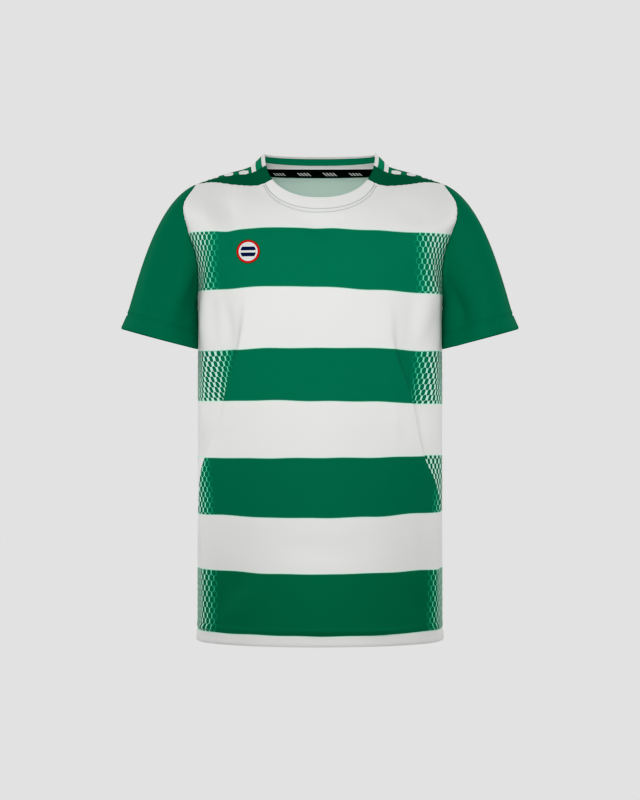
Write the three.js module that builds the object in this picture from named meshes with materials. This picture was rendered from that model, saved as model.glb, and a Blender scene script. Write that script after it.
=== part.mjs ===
// A youth football jersey with short sleeves, hollow and filled out as if it were worn.
// Units are millimetres. +Z is up, the front faces -Y, and the wearer's left is +X.
// The origin lies between the shoulders, where the garment hangs on whoever wears it.
//
// The body is one smooth form, described by sections from the hem up to the neck edge.
// A point of the form has an angle, 0 at centre front and 180 at centre back, and a level,
// 0 at the hem, 1 at the armpit and 2 at the neck edge. Each cut piece is a patch of that form.
import * as THREE from 'three';

// Driving dimensions
const BODY_HALF_WIDTH = 156.5;
const HEM_Z = -597;
const ARMPIT_Z = -165;
const CLOTH = 1.5;
const HEM_CLOTH = 2.6;
const RIB_CLOTH = 2.2;
const TAPE_CLOTH = 1.0;
const SEAM_GAP = 0.4;
const SLEEVE_GAP = 0.6;
const BODY_HEM_DEPTH = 24;
const SLEEVE_HEM_DEPTH = 20;

// Sections of the body, from the hem up to the neck edge.
// level: place of the section; half: half width; zFront, zSide, zBack: heights at centre front,
// side and centre back; yFront, ySide, yBack: depths there; square: 2 is an ellipse and more is
// squarer; drop: how the height falls from the side to the centre, 2 is rounded and 1 is straight.
const SECTIONS = [
  { level: 0.00, half: BODY_HALF_WIDTH, zFront: HEM_Z, zSide: HEM_Z, zBack: HEM_Z, yFront: -103, ySide: 0, yBack: 97, square: 2.15, drop: 2 },
  { level: 0.35, half: BODY_HALF_WIDTH, zFront: -445, zSide: -445, zBack: -445, yFront: -101, ySide: 0, yBack: 93, square: 2.1, drop: 2 },
  { level: 0.70, half: BODY_HALF_WIDTH, zFront: -296, zSide: -296, zBack: -296, yFront: -105, ySide: 0, yBack: 94, square: 2.1, drop: 2 },
  { level: 1.00, half: BODY_HALF_WIDTH, zFront: ARMPIT_Z, zSide: ARMPIT_Z, zBack: ARMPIT_Z, yFront: -110, ySide: 0, yBack: 98, square: 2.2, drop: 2 },
  { level: 1.20, half: 166, zFront: -138, zSide: -105, zBack: -128, yFront: -110, ySide: 2, yBack: 98, square: 2.4, drop: 1.8 },
  { level: 1.35, half: 179, zFront: -118, zSide: -62, zBack: -98, yFront: -108, ySide: 3, yBack: 96, square: 2.5, drop: 1.7 },
  { level: 1.50, half: 179, zFront: -98, zSide: -28, zBack: -66, yFront: -104, ySide: 3, yBack: 92, square: 2.5, drop: 1.6 },
  { level: 1.65, half: 141, zFront: -80, zSide: -9, zBack: -38, yFront: -99, ySide: 4, yBack: 86, square: 2.35, drop: 1.45 },
  { level: 1.80, half: 111, zFront: -64, zSide: 0.5, zBack: -9, yFront: -93, ySide: 4, yBack: 76, square: 2.25, drop: 1.25 },
  { level: 1.90, half: 88.5, zFront: -53, zSide: 8, zBack: 10, yFront: -88, ySide: 6, yBack: 66, square: 2.2, drop: 1.05 },
  { level: 2.00, half: 71, zFront: -40, zSide: 25, zBack: 26, yFront: -82, ySide: 12, yBack: 60, square: 2.3, drop: 0.95 },
];
const PEAK_ROUNDING = 0.07;

// Armhole: an oval in angle and level. Its own angle runs 0 at the top, 90 at the front,
// 180 at the armpit and -90 at the back.
const ARMHOLE = { middle: 1.293, rise: 0.293, front: 26, back: 25, narrowing: 0.1 };

// Where the seams of the shoulder meet the armhole, in the armhole's own angle.
const ARMHOLE_CORNERS = { front: 1.5, shoulder: -1.5, back: -20 };

// Seams across the shoulder: the angle at the neck edge or collar seam, and the most that
// the seam bows towards the front.
const COLLAR_LEVEL = 1.9;
const FRONT_SEAM = { angle: 55.5, bow: 3.5 };
const SHOULDER_SEAM = { angle: 75, bow: 0 };
const BACK_SEAM = { angle: 104, bow: 0 };
const NECKBAND = { level: COLLAR_LEVEL, lift: 0.047, angle: 58.3 };

// Tape inside the back of the neck: its levels, the collar point where it starts, and how far
// inside the outer face of the cloth it lies.
const TAPE = { low: 1.852, high: 1.905, start: 1, inset: 2.8 };

// Cuff: a tilted ring, how strongly the sleeve leaves the armhole and meets the cuff, and the
// lean at which its top run meets the cuff.
const CUFF = { x: 205.8, y: 3, z: -214, halfWide: 48.7, halfDeep: 50, tilt: 14.9 };
const SLEEVE_PULL = { armTop: 180, armUnder: 22, cuffTop: 140, cuffUnder: 70 };
const SLEEVE_LEAN = 20;

// Folds of the body. face: -1 front, 1 back; x and z: start, middle and end in the front view;
// height: how far the cloth stands out, or in if negative; inner and outer: how far the fold
// reaches towards the centre and towards the side.
const BODY_FOLDS = [
  { face: -1, x: [-126, -124, -118], z: [-112, -175, -222], height: -3.5, inner: 12, outer: 12 },
  { face: -1, x: [148, 134, 116], z: [-140, -178, -226], height: 3.5, inner: 14, outer: 10 },
  { face: -1, x: [92, 118, 150], z: [-40, -56, -66], height: -3, inner: 15, outer: 15 },
  { face: -1, x: [-112, -116, -124], z: [-40, -62, -100], height: -3, inner: 13, outer: 13 },
  { face: -1, x: [0, 0, 2], z: [-60, -70, -92], height: -2.5, inner: 26, outer: 26 },
  { face: 1, x: [-60, -10, 52], z: [-392, -406, -398], height: -4, inner: 22, outer: 22 },
  { face: 1, x: [-128, -104, -74], z: [-96, -120, -134], height: -3, inner: 14, outer: 14 },
  { face: 1, x: [122, 100, 66], z: [-104, -132, -150], height: -3, inner: 14, outer: 14 },
];

// The four long drape folds. Each runs down its panel from the chest to the side: the cloth
// nearer the centre stands proud and steps back towards the side.
// angle: degrees from the panel's centre line; strength: share of the full step.
const DRAPES = {
  frontRight: [
    { level: 0.25, angle: 74, strength: 0 },
    { level: 0.375, angle: 73, strength: 0.45 },
    { level: 0.537, angle: 63.5, strength: 1 },
    { level: 0.704, angle: 48, strength: 1 },
    { level: 0.85, angle: 37.5, strength: 0.75 },
    { level: 0.98, angle: 33.5, strength: 0.15 },
    { level: 1.05, angle: 33, strength: 0 },
  ],
  frontLeft: [
    { level: 0.26, angle: 73, strength: 0 },
    { level: 0.389, angle: 71.5, strength: 0.45 },
    { level: 0.546, angle: 53, strength: 1 },
    { level: 0.704, angle: 44, strength: 1 },
    { level: 0.85, angle: 33.5, strength: 0.6 },
    { level: 0.95, angle: 31.5, strength: 0.1 },
    { level: 1.02, angle: 31, strength: 0 },
  ],
  backRight: [
    { level: 0.2, angle: 75, strength: 0 },
    { level: 0.33, angle: 73, strength: 0.4 },
    { level: 0.47, angle: 64, strength: 0.9 },
    { level: 0.62, angle: 51, strength: 1 },
    { level: 0.8, angle: 40, strength: 0.7 },
    { level: 0.96, angle: 35, strength: 0.1 },
    { level: 1.03, angle: 34, strength: 0 },
  ],
  backLeft: [
    { level: 0.3, angle: 74, strength: 0 },
    { level: 0.42, angle: 72, strength: 0.5 },
    { level: 0.56, angle: 60, strength: 1 },
    { level: 0.72, angle: 46, strength: 0.95 },
    { level: 0.87, angle: 36, strength: 0.5 },
    { level: 0.97, angle: 33, strength: 0.1 },
    { level: 1.04, angle: 32, strength: 0 },
  ],
};

// Shape of a drape fold across its length: at is the distance towards the side, in millimetres.
const DRAPE_STEP = 7.5;
const DRAPE_PROFILE = [
  { at: -70, lift: 0 },
  { at: -34, lift: 0.28 },
  { at: -14, lift: 0.8 },
  { at: 0, lift: 1 },
  { at: 3.5, lift: 0.55 },
  { at: 7.5, lift: -0.5 },
  { at: 13, lift: -0.78 },
  { at: 25, lift: -0.4 },
  { at: 44, lift: 0 },
];
const DRAPE_MM_PER_DEGREE = 2.25;

// Folds of the sleeves, in the armhole's own angle and the share of the way to the cuff.
const SLEEVE_FOLDS = [
  { sleeve: -1, angle: [70, 76], share: [0.12, 0.8], height: -3.2, wide: 15 },
  { sleeve: -1, angle: [118, 108], share: [0.1, 0.62], height: 3, wide: 16 },
  { sleeve: -1, angle: [-98, -88], share: [0.15, 0.75], height: -3, wide: 18 },
  { sleeve: 1, angle: [84, 66], share: [0.15, 0.85], height: -3, wide: 17 },
  { sleeve: 1, angle: [124, 112], share: [0.1, 0.6], height: 3, wide: 14 },
  { sleeve: 1, angle: [-84, -100], share: [0.2, 0.8], height: -3, wide: 16 },
];

// Cloth colours
const WHITE = 0xe9e9e7;
const GREEN = 0x00704c;
const DARK_GREEN = 0x004a2d;
const BLACK = 0x0b0b0c;

// How finely each seam is divided. Pieces that share a seam share its points.
const SIDE_STEPS = 17;
const ARMHOLE_FRONT_STEPS = 15;
const ARMHOLE_BACK_STEPS = 13;
const INSET_END_STEPS = 1;
const STRIP_END_STEPS = 3;
const SEAM_STEPS = 8;
const NECK_STEPS = 16;
const SLEEVE_STEPS = 10;
const FOLD_COLUMNS = [-9, -5, -2, 0, 1.7, 3.7, 8];
const INNER_COLUMNS = 6;
const OUTER_COLUMNS = 4;
const HALF_COLUMNS = INNER_COLUMNS + FOLD_COLUMNS.length - 1 + OUTER_COLUMNS;
const COLLAR_STEPS = 2 * (HALF_COLUMNS - SEAM_STEPS + STRIP_END_STEPS);

const radians = THREE.MathUtils.degToRad;
const lerp = THREE.MathUtils.lerp;

// A smooth value between table rows, by Catmull-Rom through one named column.
function between(table, key, column, at) {
  let i = 1;
  while (i < table.length - 1 && table[i][key] < at) {
    i += 1;
  }
  const low = table[i - 1];
  const high = table[i];
  const before = table[Math.max(i - 2, 0)];
  const after = table[Math.min(i + 1, table.length - 1)];
  const span = high[key] - low[key];
  const t = (at - low[key]) / span;
  const slope = (p, q) => (q === p ? 0 : ((q[column] - p[column]) / (q[key] - p[key])) * span);
  const startSlope = slope(before, high);
  const endSlope = slope(low, after);
  const t2 = t * t;
  const t3 = t2 * t;
  return (2 * t3 - 3 * t2 + 1) * low[column] + (t3 - 2 * t2 + t) * startSlope
    + (3 * t2 - 2 * t3) * high[column] + (t3 - t2) * endSlope;
}

// The form without folds: angle in degrees, positive towards the wearer's left.
function plainPoint(angle, level) {
  const row = {};
  for (const column of Object.keys(SECTIONS[0])) {
    row[column] = between(SECTIONS, 'level', column, level);
  }
  const sine = Math.sin(radians(angle));
  const cosine = Math.cos(radians(angle));
  const across = Math.sign(sine) * Math.abs(sine) ** (2 / row.square);
  const deep = Math.abs(cosine) ** (2 / row.square);
  const toFront = cosine > 0;
  const yCentre = toFront ? row.yFront : row.yBack;
  const zCentre = toFront ? row.zFront : row.zBack;
  const rounded = (deep * deep + PEAK_ROUNDING ** 2) ** (row.drop / 2) - PEAK_ROUNDING ** row.drop;
  const full = (1 + PEAK_ROUNDING ** 2) ** (row.drop / 2) - PEAK_ROUNDING ** row.drop;
  return new THREE.Vector3(
    row.half * across,
    lerp(row.ySide, yCentre, deep),
    lerp(row.zSide, zCentre, rounded / full),
  );
}

// How far one fold lifts the cloth at a place in the front view.
function foldLift(fold, x, z) {
  let best = { distance: Infinity };
  const steps = 12;
  for (let i = 0; i <= steps; i += 1) {
    const t = i / steps;
    const [x0, x1, x2] = fold.x;
    const [z0, z1, z2] = fold.z;
    const bendX = 2 * x1 - (x0 + x2) / 2;
    const bendZ = 2 * z1 - (z0 + z2) / 2;
    const px = (1 - t) ** 2 * x0 + 2 * t * (1 - t) * bendX + t * t * x2;
    const pz = (1 - t) ** 2 * z0 + 2 * t * (1 - t) * bendZ + t * t * z2;
    const distance = Math.hypot(x - px, z - pz);
    if (distance < best.distance) {
      best = { distance, t, outward: Math.abs(x) - Math.abs(px) };
    }
  }
  const reach = best.outward > 0 ? fold.outer : fold.inner;
  const taper = Math.sin(Math.PI * Math.min(1, 0.12 + 0.76 * best.t)) ** 1.2;
  return fold.height * taper * Math.exp(-((best.distance / reach) ** 2));
}

// Clamped reading of a drape table.
function drapeAt(table, column, level) {
  const first = table[0];
  const last = table[table.length - 1];
  if (level <= first.level) return first[column];
  if (level >= last.level) return last[column];
  return between(table, 'level', column, level);
}

// The drape table of the panel half at an angle, and how far that angle is from the centre line.
function drapeHalf(angle) {
  const turned = ((angle + 540) % 360) - 180;
  const front = Math.abs(turned) <= 90;
  const half = turned > 0 ? 'Left' : 'Right';
  return {
    table: DRAPES[(front ? 'front' : 'back') + half],
    fromCentre: front ? Math.abs(turned) : 180 - Math.abs(turned),
  };
}

// How far the long drape fold lifts the cloth.
function drapeLift(angle, level) {
  const { table, fromCentre } = drapeHalf(angle);
  const strength = drapeAt(table, 'strength', level);
  const distance = (fromCentre - drapeAt(table, 'angle', level)) * DRAPE_MM_PER_DEGREE;
  const ends = [DRAPE_PROFILE[0].at, DRAPE_PROFILE[DRAPE_PROFILE.length - 1].at];
  if (strength <= 0 || distance <= ends[0] || distance >= ends[1]) return 0;
  const towardsSeam = Math.min(1, (90 - fromCentre) / 9);
  return DRAPE_STEP * strength * towardsSeam * between(DRAPE_PROFILE, 'at', 'lift', distance);
}

function plainNormal(angle, level) {
  const step = 0.01;
  const low = Math.max(0, level - step);
  const high = Math.min(2, level + step);
  const along = plainPoint(angle, high).sub(plainPoint(angle, low));
  const around = plainPoint(angle + 1, level).sub(plainPoint(angle - 1, level));
  return around.cross(along).normalize();
}

// The form with its folds, and the direction out of the cloth there.
function clothPoint(angle, level) {
  const point = plainPoint(angle, level);
  const normal = plainNormal(angle, level);
  const face = Math.cos(radians(angle)) > 0 ? -1 : 1;
  let lift = drapeLift(angle, level);
  for (const fold of BODY_FOLDS) {
    if (fold.face === face) {
      lift += foldLift(fold, point.x, point.z);
    }
  }
  return { point: point.addScaledVector(normal, lift), normal };
}

// Angle and level on the armhole of one side, from the armhole's own angle in degrees.
function armholePlace(side, turn) {
  const sine = Math.sin(radians(turn));
  const cosine = Math.cos(radians(turn));
  const reach = sine > 0 ? ARMHOLE.front : ARMHOLE.back;
  const width = 1 - ARMHOLE.narrowing + ARMHOLE.narrowing * cosine;
  return {
    angle: side * (90 - reach * sine * width),
    level: ARMHOLE.middle + ARMHOLE.rise * cosine,
  };
}

// A seam across the shoulder, from the neck outwards to the armhole.
function shoulderSeam(side, seam, topLevel, corner, t) {
  const end = armholePlace(side, corner);
  const bow = seam.bow * Math.sin(Math.PI * t);
  return {
    angle: side * lerp(seam.angle, Math.abs(end.angle), t) - side * bow,
    level: lerp(topLevel, end.level, t),
  };
}

const frontSeam = (side, t) => shoulderSeam(side, FRONT_SEAM, 2, ARMHOLE_CORNERS.front, t);
const backSeam = (side, t) => shoulderSeam(side, BACK_SEAM, COLLAR_LEVEL, ARMHOLE_CORNERS.back, t);

// The shoulder seam runs straight in angle and level from the neck edge to the armhole.
function middleSeam(side, t) {
  return shoulderSeam(side, SHOULDER_SEAM, 2, ARMHOLE_CORNERS.shoulder, t);
}

// Share of a seam at which it reaches a level.
function shareAtLevel(seam, side, level) {
  const top = seam(side, 0).level;
  const foot = seam(side, 1).level;
  return (top - level) / (top - foot);
}

const neckbandLevel = (angle) => NECKBAND.level + NECKBAND.lift * (angle / NECKBAND.angle) ** 2;

// The neckband's corner on the front seam, found by a few steps of bisection.
function neckbandCorner(side) {
  let near = 0;
  let far = 1;
  for (let i = 0; i < 30; i += 1) {
    const middle = (near + far) / 2;
    const place = frontSeam(side, middle);
    if (place.level > neckbandLevel(Math.abs(place.angle))) {
      near = middle;
    } else {
      far = middle;
    }
  }
  return near;
}

// A grid of places from four edges that meet at their corners.
function patch(bottom, top, left, right, columns, rows) {
  const grid = [];
  for (let j = 0; j <= rows; j += 1) {
    const w = j / rows;
    const line = [];
    for (let i = 0; i <= columns; i += 1) {
      const u = i / columns;
      const place = {};
      for (const key of ['angle', 'level']) {
        const rails = lerp(bottom(i)[key], top(i)[key], w) + lerp(left(j)[key], right(j)[key], u);
        const corners = lerp(
          lerp(bottom(0)[key], bottom(columns)[key], u),
          lerp(top(0)[key], top(columns)[key], u),
          w,
        );
        place[key] = rails - corners;
      }
      line.push(place);
    }
    grid.push(line);
  }
  return grid;
}

// Moves the rim of a grid of points inwards, so that neighbours stay a seam gap apart.
function trimRim(grid, sides) {
  const rows = grid.length - 1;
  const columns = grid[0].length - 1;
  const shift = (j, i, towardsJ, towardsI) => {
    const move = grid[towardsJ][towardsI].point.clone().sub(grid[j][i].point);
    const length = Math.max(move.length(), SEAM_GAP);
    return move.multiplyScalar((SEAM_GAP / 2) / length);
  };
  const moves = [];
  for (let i = 0; i <= columns; i += 1) {
    if (sides.bottom) moves.push([0, i, shift(0, i, 1, i)]);
    if (sides.top) moves.push([rows, i, shift(rows, i, rows - 1, i)]);
  }
  for (let j = 0; j <= rows; j += 1) {
    if (sides.left) moves.push([j, 0, shift(j, 0, j, 1)]);
    if (sides.right) moves.push([j, columns, shift(j, columns, j, columns - 1)]);
  }
  for (const [j, i, move] of moves) {
    grid[j][i].point.add(move);
  }
}

// A closed wall: the grid is its outer face, and each point's thickness gives the inner face.
function wall(grid) {
  const rows = grid.length;
  const columns = grid[0].length;
  const positions = [];
  const faces = [];
  const outer = (j, i) => j * columns + i;
  const inner = (j, i) => rows * columns + j * columns + i;
  for (const line of grid) {
    for (const cell of line) {
      positions.push(...cell.point.toArray());
    }
  }
  for (const line of grid) {
    for (const cell of line) {
      positions.push(...cell.point.clone().addScaledVector(cell.normal, -cell.thick).toArray());
    }
  }
  const quad = (a, b, c, d) => faces.push(a, b, c, a, c, d);
  for (let j = 0; j < rows - 1; j += 1) {
    for (let i = 0; i < columns - 1; i += 1) {
      quad(outer(j, i), outer(j, i + 1), outer(j + 1, i + 1), outer(j + 1, i));
      quad(inner(j, i), inner(j + 1, i), inner(j + 1, i + 1), inner(j, i + 1));
    }
  }
  for (let i = 0; i < columns - 1; i += 1) {
    quad(outer(0, i), inner(0, i), inner(0, i + 1), outer(0, i + 1));
    quad(outer(rows - 1, i), outer(rows - 1, i + 1), inner(rows - 1, i + 1), inner(rows - 1, i));
  }
  for (let j = 0; j < rows - 1; j += 1) {
    quad(outer(j, 0), outer(j + 1, 0), inner(j + 1, 0), inner(j, 0));
    quad(outer(j, columns - 1), inner(j, columns - 1), inner(j + 1, columns - 1), outer(j + 1, columns - 1));
  }
  const geometry = new THREE.BufferGeometry();
  geometry.setAttribute('position', new THREE.Float32BufferAttribute(positions, 3));
  geometry.setIndex(faces);
  geometry.computeVertexNormals();
  return geometry;
}

// A closed tube wall: like wall, but each row of the grid closes on itself.
function tubeWall(grid) {
  const rows = grid.length;
  const columns = grid[0].length;
  const positions = [];
  const faces = [];
  const outer = (j, i) => j * columns + (i % columns);
  const inner = (j, i) => rows * columns + j * columns + (i % columns);
  for (const line of grid) {
    for (const cell of line) {
      positions.push(...cell.point.toArray());
    }
  }
  for (const line of grid) {
    for (const cell of line) {
      positions.push(...cell.point.clone().addScaledVector(cell.normal, -cell.thick).toArray());
    }
  }
  const quad = (a, b, c, d) => faces.push(a, b, c, a, c, d);
  for (let i = 0; i < columns; i += 1) {
    for (let j = 0; j < rows - 1; j += 1) {
      quad(outer(j, i), outer(j, i + 1), outer(j + 1, i + 1), outer(j + 1, i));
      quad(inner(j, i), inner(j + 1, i), inner(j + 1, i + 1), inner(j, i + 1));
    }
    quad(outer(0, i), inner(0, i), inner(0, i + 1), outer(0, i + 1));
    quad(outer(rows - 1, i), outer(rows - 1, i + 1), inner(rows - 1, i + 1), inner(rows - 1, i));
  }
  const geometry = new THREE.BufferGeometry();
  geometry.setAttribute('position', new THREE.Float32BufferAttribute(positions, 3));
  geometry.setIndex(faces);
  geometry.computeVertexNormals();
  return geometry;
}

// Turns places into points with normals and a thickness. offset moves the whole wall out.
function lay(places, thick, offset = 0) {
  return places.map((line) => line.map((place) => {
    const { point, normal } = clothPoint(place.angle, place.level);
    const here = typeof thick === 'function' ? thick(point) : thick;
    return { point: point.addScaledVector(normal, offset), normal, thick: here };
  }));
}

const garment = new THREE.Group();

function sew(name, geometry, color, roughness) {
  const material = new THREE.MeshStandardMaterial({ color, roughness, metalness: 0 });
  const mesh = new THREE.Mesh(geometry, material);
  mesh.name = name;
  garment.add(mesh);
}

const hemThickness = (point) => (point.z < HEM_Z + BODY_HEM_DEPTH + 1 ? HEM_CLOTH : CLOTH);

// Levels of the rows below the armpit: the first row of steps is the hem itself.
function sideLevel(j) {
  const hemLevel = BODY_HEM_DEPTH / (ARMPIT_Z - HEM_Z);
  return j === 0 ? 0 : lerp(hemLevel, 1, (j - 1) / (SIDE_STEPS - 1));
}

// Angle of a column from the panel's centre line, for one half of a panel. Below the chest
// the columns run along the drape fold, and at the armpit they are evenly spread.
function columnFromCentre(table, step, level) {
  const foldAngle = drapeAt(table, 'angle', level);
  const near = FOLD_COLUMNS.length - 1;
  const steps = INNER_COLUMNS + near + OUTER_COLUMNS;
  let along;
  if (step <= INNER_COLUMNS) {
    along = (foldAngle + FOLD_COLUMNS[0]) * (step / INNER_COLUMNS);
  } else if (step <= INNER_COLUMNS + near) {
    along = foldAngle + FOLD_COLUMNS[step - INNER_COLUMNS];
  } else {
    const from = foldAngle + FOLD_COLUMNS[near];
    along = lerp(from, 90, (step - INNER_COLUMNS - near) / OUTER_COLUMNS);
  }
  const even = 90 * (step / steps);
  const ease = THREE.MathUtils.smoothstep(level, 0.84, 1);
  return lerp(along, even, ease);
}

// Angle of one column of the front or the back panel at a level.
function bodyColumn(front, i, level) {
  const fromMiddle = i - HALF_COLUMNS;
  const side = Math.sign(fromMiddle) || 1;
  const half = (side > 0) === front ? 'Left' : 'Right';
  const table = DRAPES[(front ? 'front' : 'back') + half];
  const angle = side * columnFromCentre(table, Math.abs(fromMiddle), level);
  return front ? angle : 180 + angle;
}

// The rows of a body panel: even below the armpit, then a patch up to its upper edges.
function bodyRows(front, top, left, right, armholeSteps) {
  const columns = 2 * HALF_COLUMNS;
  const bottom = (i) => ({ angle: bodyColumn(front, i, 1), level: 1 });
  const upper = patch(bottom, top, left, right, columns, armholeSteps);
  const lower = [];
  for (let j = 0; j < SIDE_STEPS; j += 1) {
    const level = sideLevel(j);
    lower.push(upper[0].map((place, i) => ({ angle: bodyColumn(front, i, level), level })));
  }
  return [...lower, ...upper];
}

// Front panel: from the hem to the neckband and the front seams of the shoulders.
function frontPanel() {
  const columns = 2 * HALF_COLUMNS;
  const corner = neckbandCorner(1);
  const neckReach = Math.abs(frontSeam(1, corner).angle);
  const top = (i) => {
    if (i < SEAM_STEPS) return frontSeam(-1, lerp(1, corner, i / SEAM_STEPS));
    if (i > columns - SEAM_STEPS) return frontSeam(1, lerp(1, corner, (columns - i) / SEAM_STEPS));
    const angle = lerp(-neckReach, neckReach, (i - SEAM_STEPS) / (columns - 2 * SEAM_STEPS));
    return { angle, level: neckbandLevel(angle) };
  };
  const edge = (side) => (j) => {
    return armholePlace(side, lerp(180, ARMHOLE_CORNERS.front, j / ARMHOLE_FRONT_STEPS));
  };
  const grid = lay(bodyRows(true, top, edge(-1), edge(1), ARMHOLE_FRONT_STEPS), hemThickness);
  trimRim(grid, { top: true, left: true, right: true });
  sew('front', wall(grid), WHITE, 0.7);
}

// Back panel: from the hem to the collar seam and the back seams of the shoulder strips.
function backPanel() {
  const columns = 2 * HALF_COLUMNS;
  const mirrored = (place) => ({ angle: 360 - place.angle, level: place.level });
  const top = (i) => {
    if (i < SEAM_STEPS) return backSeam(1, 1 - i / SEAM_STEPS);
    if (i > columns - SEAM_STEPS) return mirrored(backSeam(1, 1 - (columns - i) / SEAM_STEPS));
    const share = (i - SEAM_STEPS) / (columns - 2 * SEAM_STEPS);
    return { angle: lerp(BACK_SEAM.angle, 360 - BACK_SEAM.angle, share), level: COLLAR_LEVEL };
  };
  const left = (j) => armholePlace(1, lerp(-180, ARMHOLE_CORNERS.back, j / ARMHOLE_BACK_STEPS));
  const right = (j) => mirrored(left(j));
  const grid = lay(bodyRows(false, top, left, right, ARMHOLE_BACK_STEPS), hemThickness);
  trimRim(grid, { top: true, left: true, right: true });
  sew('back', wall(grid), WHITE, 0.7);
}

// A piece that runs out along the shoulder between two seams, from the neck to the armhole.
// Its rows go from the back edge to the front edge, seen with the neck at the grid's top.
function shoulderPiece(name, side, frontEdge, backEdge, endSteps, color) {
  const first = side > 0 ? frontEdge : backEdge;
  const second = side > 0 ? backEdge : frontEdge;
  const left = (j) => first(1 - j / SEAM_STEPS);
  const right = (j) => second(1 - j / SEAM_STEPS);
  const bottom = (i) => {
    const u = i / endSteps;
    const turns = [first(1).turn, second(1).turn];
    return armholePlace(side, lerp(turns[0], turns[1], u));
  };
  const top = (i) => {
    const u = i / endSteps;
    return {
      angle: lerp(first(0).angle, second(0).angle, u),
      level: lerp(first(0).level, second(0).level, u),
    };
  };
  const grid = lay(patch(bottom, top, left, right, endSteps, SEAM_STEPS), CLOTH);
  trimRim(grid, { bottom: true, top: true, left: true, right: true });
  sew(name, wall(grid), color, 0.7);
}

const withTurn = (place, turn) => ({ ...place, turn });

// Dark inset in front of the shoulder seam.
function shoulderFront(name, side) {
  const frontEdge = (t) => withTurn(frontSeam(side, t), ARMHOLE_CORNERS.front);
  const backEdge = (t) => withTurn(middleSeam(side, t), ARMHOLE_CORNERS.shoulder);
  shoulderPiece(name, side, frontEdge, backEdge, INSET_END_STEPS, DARK_GREEN);
}

// Green strip behind the shoulder seam, out from the collar seam.
function shoulderBack(name, side) {
  const start = shareAtLevel(middleSeam, side, COLLAR_LEVEL);
  const frontEdge = (t) => {
    return withTurn(middleSeam(side, lerp(start, 1, t)), ARMHOLE_CORNERS.shoulder);
  };
  const backEdge = (t) => withTurn(backSeam(side, t), ARMHOLE_CORNERS.back);
  shoulderPiece(name, side, frontEdge, backEdge, STRIP_END_STEPS, GREEN);
}

// White band along the front of the neck, between the two front seams.
function neckbandFront() {
  const corner = neckbandCorner(1);
  const reach = Math.abs(frontSeam(1, corner).angle);
  const rows = 2;
  const bottom = (i) => {
    const angle = lerp(-reach, reach, i / NECK_STEPS);
    return { angle, level: neckbandLevel(angle) };
  };
  const top = (i) => ({ angle: lerp(-FRONT_SEAM.angle, FRONT_SEAM.angle, i / NECK_STEPS), level: 2 });
  const end = (side) => (j) => frontSeam(side, lerp(corner, 0, j / rows));
  const grid = lay(patch(bottom, top, end(-1), end(1), NECK_STEPS, rows), CLOTH);
  trimRim(grid, { bottom: true, left: true, right: true });
  sew('neckband_front', wall(grid), WHITE, 0.7);
}

// Angle along the collar seam, with the same points as the strips and the back panel have.
function collarSeamAngle(i) {
  const foot = middleSeam(1, shareAtLevel(middleSeam, 1, COLLAR_LEVEL)).angle;
  if (i < STRIP_END_STEPS) return lerp(foot, BACK_SEAM.angle, i / STRIP_END_STEPS);
  if (i > COLLAR_STEPS - STRIP_END_STEPS) return 360 - collarSeamAngle(COLLAR_STEPS - i);
  const share = (i - STRIP_END_STEPS) / (COLLAR_STEPS - 2 * STRIP_END_STEPS);
  return lerp(BACK_SEAM.angle, 360 - BACK_SEAM.angle, share);
}

// Ribbed half collar round the back, from shoulder seam to shoulder seam.
function collarBack() {
  const rows = 3;
  const start = shareAtLevel(middleSeam, 1, COLLAR_LEVEL);
  const bottom = (i) => ({ angle: collarSeamAngle(i), level: COLLAR_LEVEL });
  const foot = bottom(0).angle;
  const top = (i) => {
    const share = (collarSeamAngle(i) - foot) / (360 - 2 * foot);
    return { angle: lerp(SHOULDER_SEAM.angle, 360 - SHOULDER_SEAM.angle, share), level: 2 };
  };
  const left = (j) => middleSeam(1, lerp(start, 0, j / rows));
  const right = (j) => ({ angle: 360 - left(j).angle, level: left(j).level });
  const grid = lay(patch(bottom, top, left, right, COLLAR_STEPS, rows), RIB_CLOTH, 0.3);
  trimRim(grid, { bottom: true, left: true, right: true });
  sew('collar_back', wall(grid), GREEN, 0.8);
}

// Black tape over the collar seam, inside the back of the neck.
function neckTape() {
  const grid = [];
  for (const level of [TAPE.low, TAPE.high]) {
    const line = [];
    for (let i = TAPE.start; i <= COLLAR_STEPS - TAPE.start; i += 1) {
      const { point, normal } = clothPoint(collarSeamAngle(i), level);
      line.push({ point: point.addScaledVector(normal, -TAPE.inset), normal, thick: TAPE_CLOTH });
    }
    grid.push(line);
  }
  sew('neck_tape', wall(grid), BLACK, 0.8);
}

// Turns round an armhole at which the neighbouring pieces have points, and one between each.
function sleeveTurns() {
  const corners = ARMHOLE_CORNERS;
  const turns = [];
  const run = (from, to, steps) => {
    for (let i = 0; i < steps; i += 1) turns.push(lerp(from, to, i / steps));
  };
  run(180, corners.front, ARMHOLE_FRONT_STEPS);
  run(corners.front, corners.shoulder, INSET_END_STEPS);
  run(corners.shoulder, corners.back, STRIP_END_STEPS);
  run(corners.back, -180, ARMHOLE_BACK_STEPS);
  return turns;
}

// How far a sleeve's folds lift the cloth.
function sleeveFoldLift(side, turn, share) {
  let lift = 0;
  for (const fold of SLEEVE_FOLDS) {
    if (fold.sleeve !== side) continue;
    const [from, to] = fold.share;
    const t = (share - from) / (to - from);
    if (t <= 0 || t >= 1) continue;
    const middle = lerp(fold.angle[0], fold.angle[1], t);
    lift += fold.height * Math.sin(Math.PI * t) * Math.exp(-(((turn - middle) / fold.wide) ** 2));
  }
  return lift;
}

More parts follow.
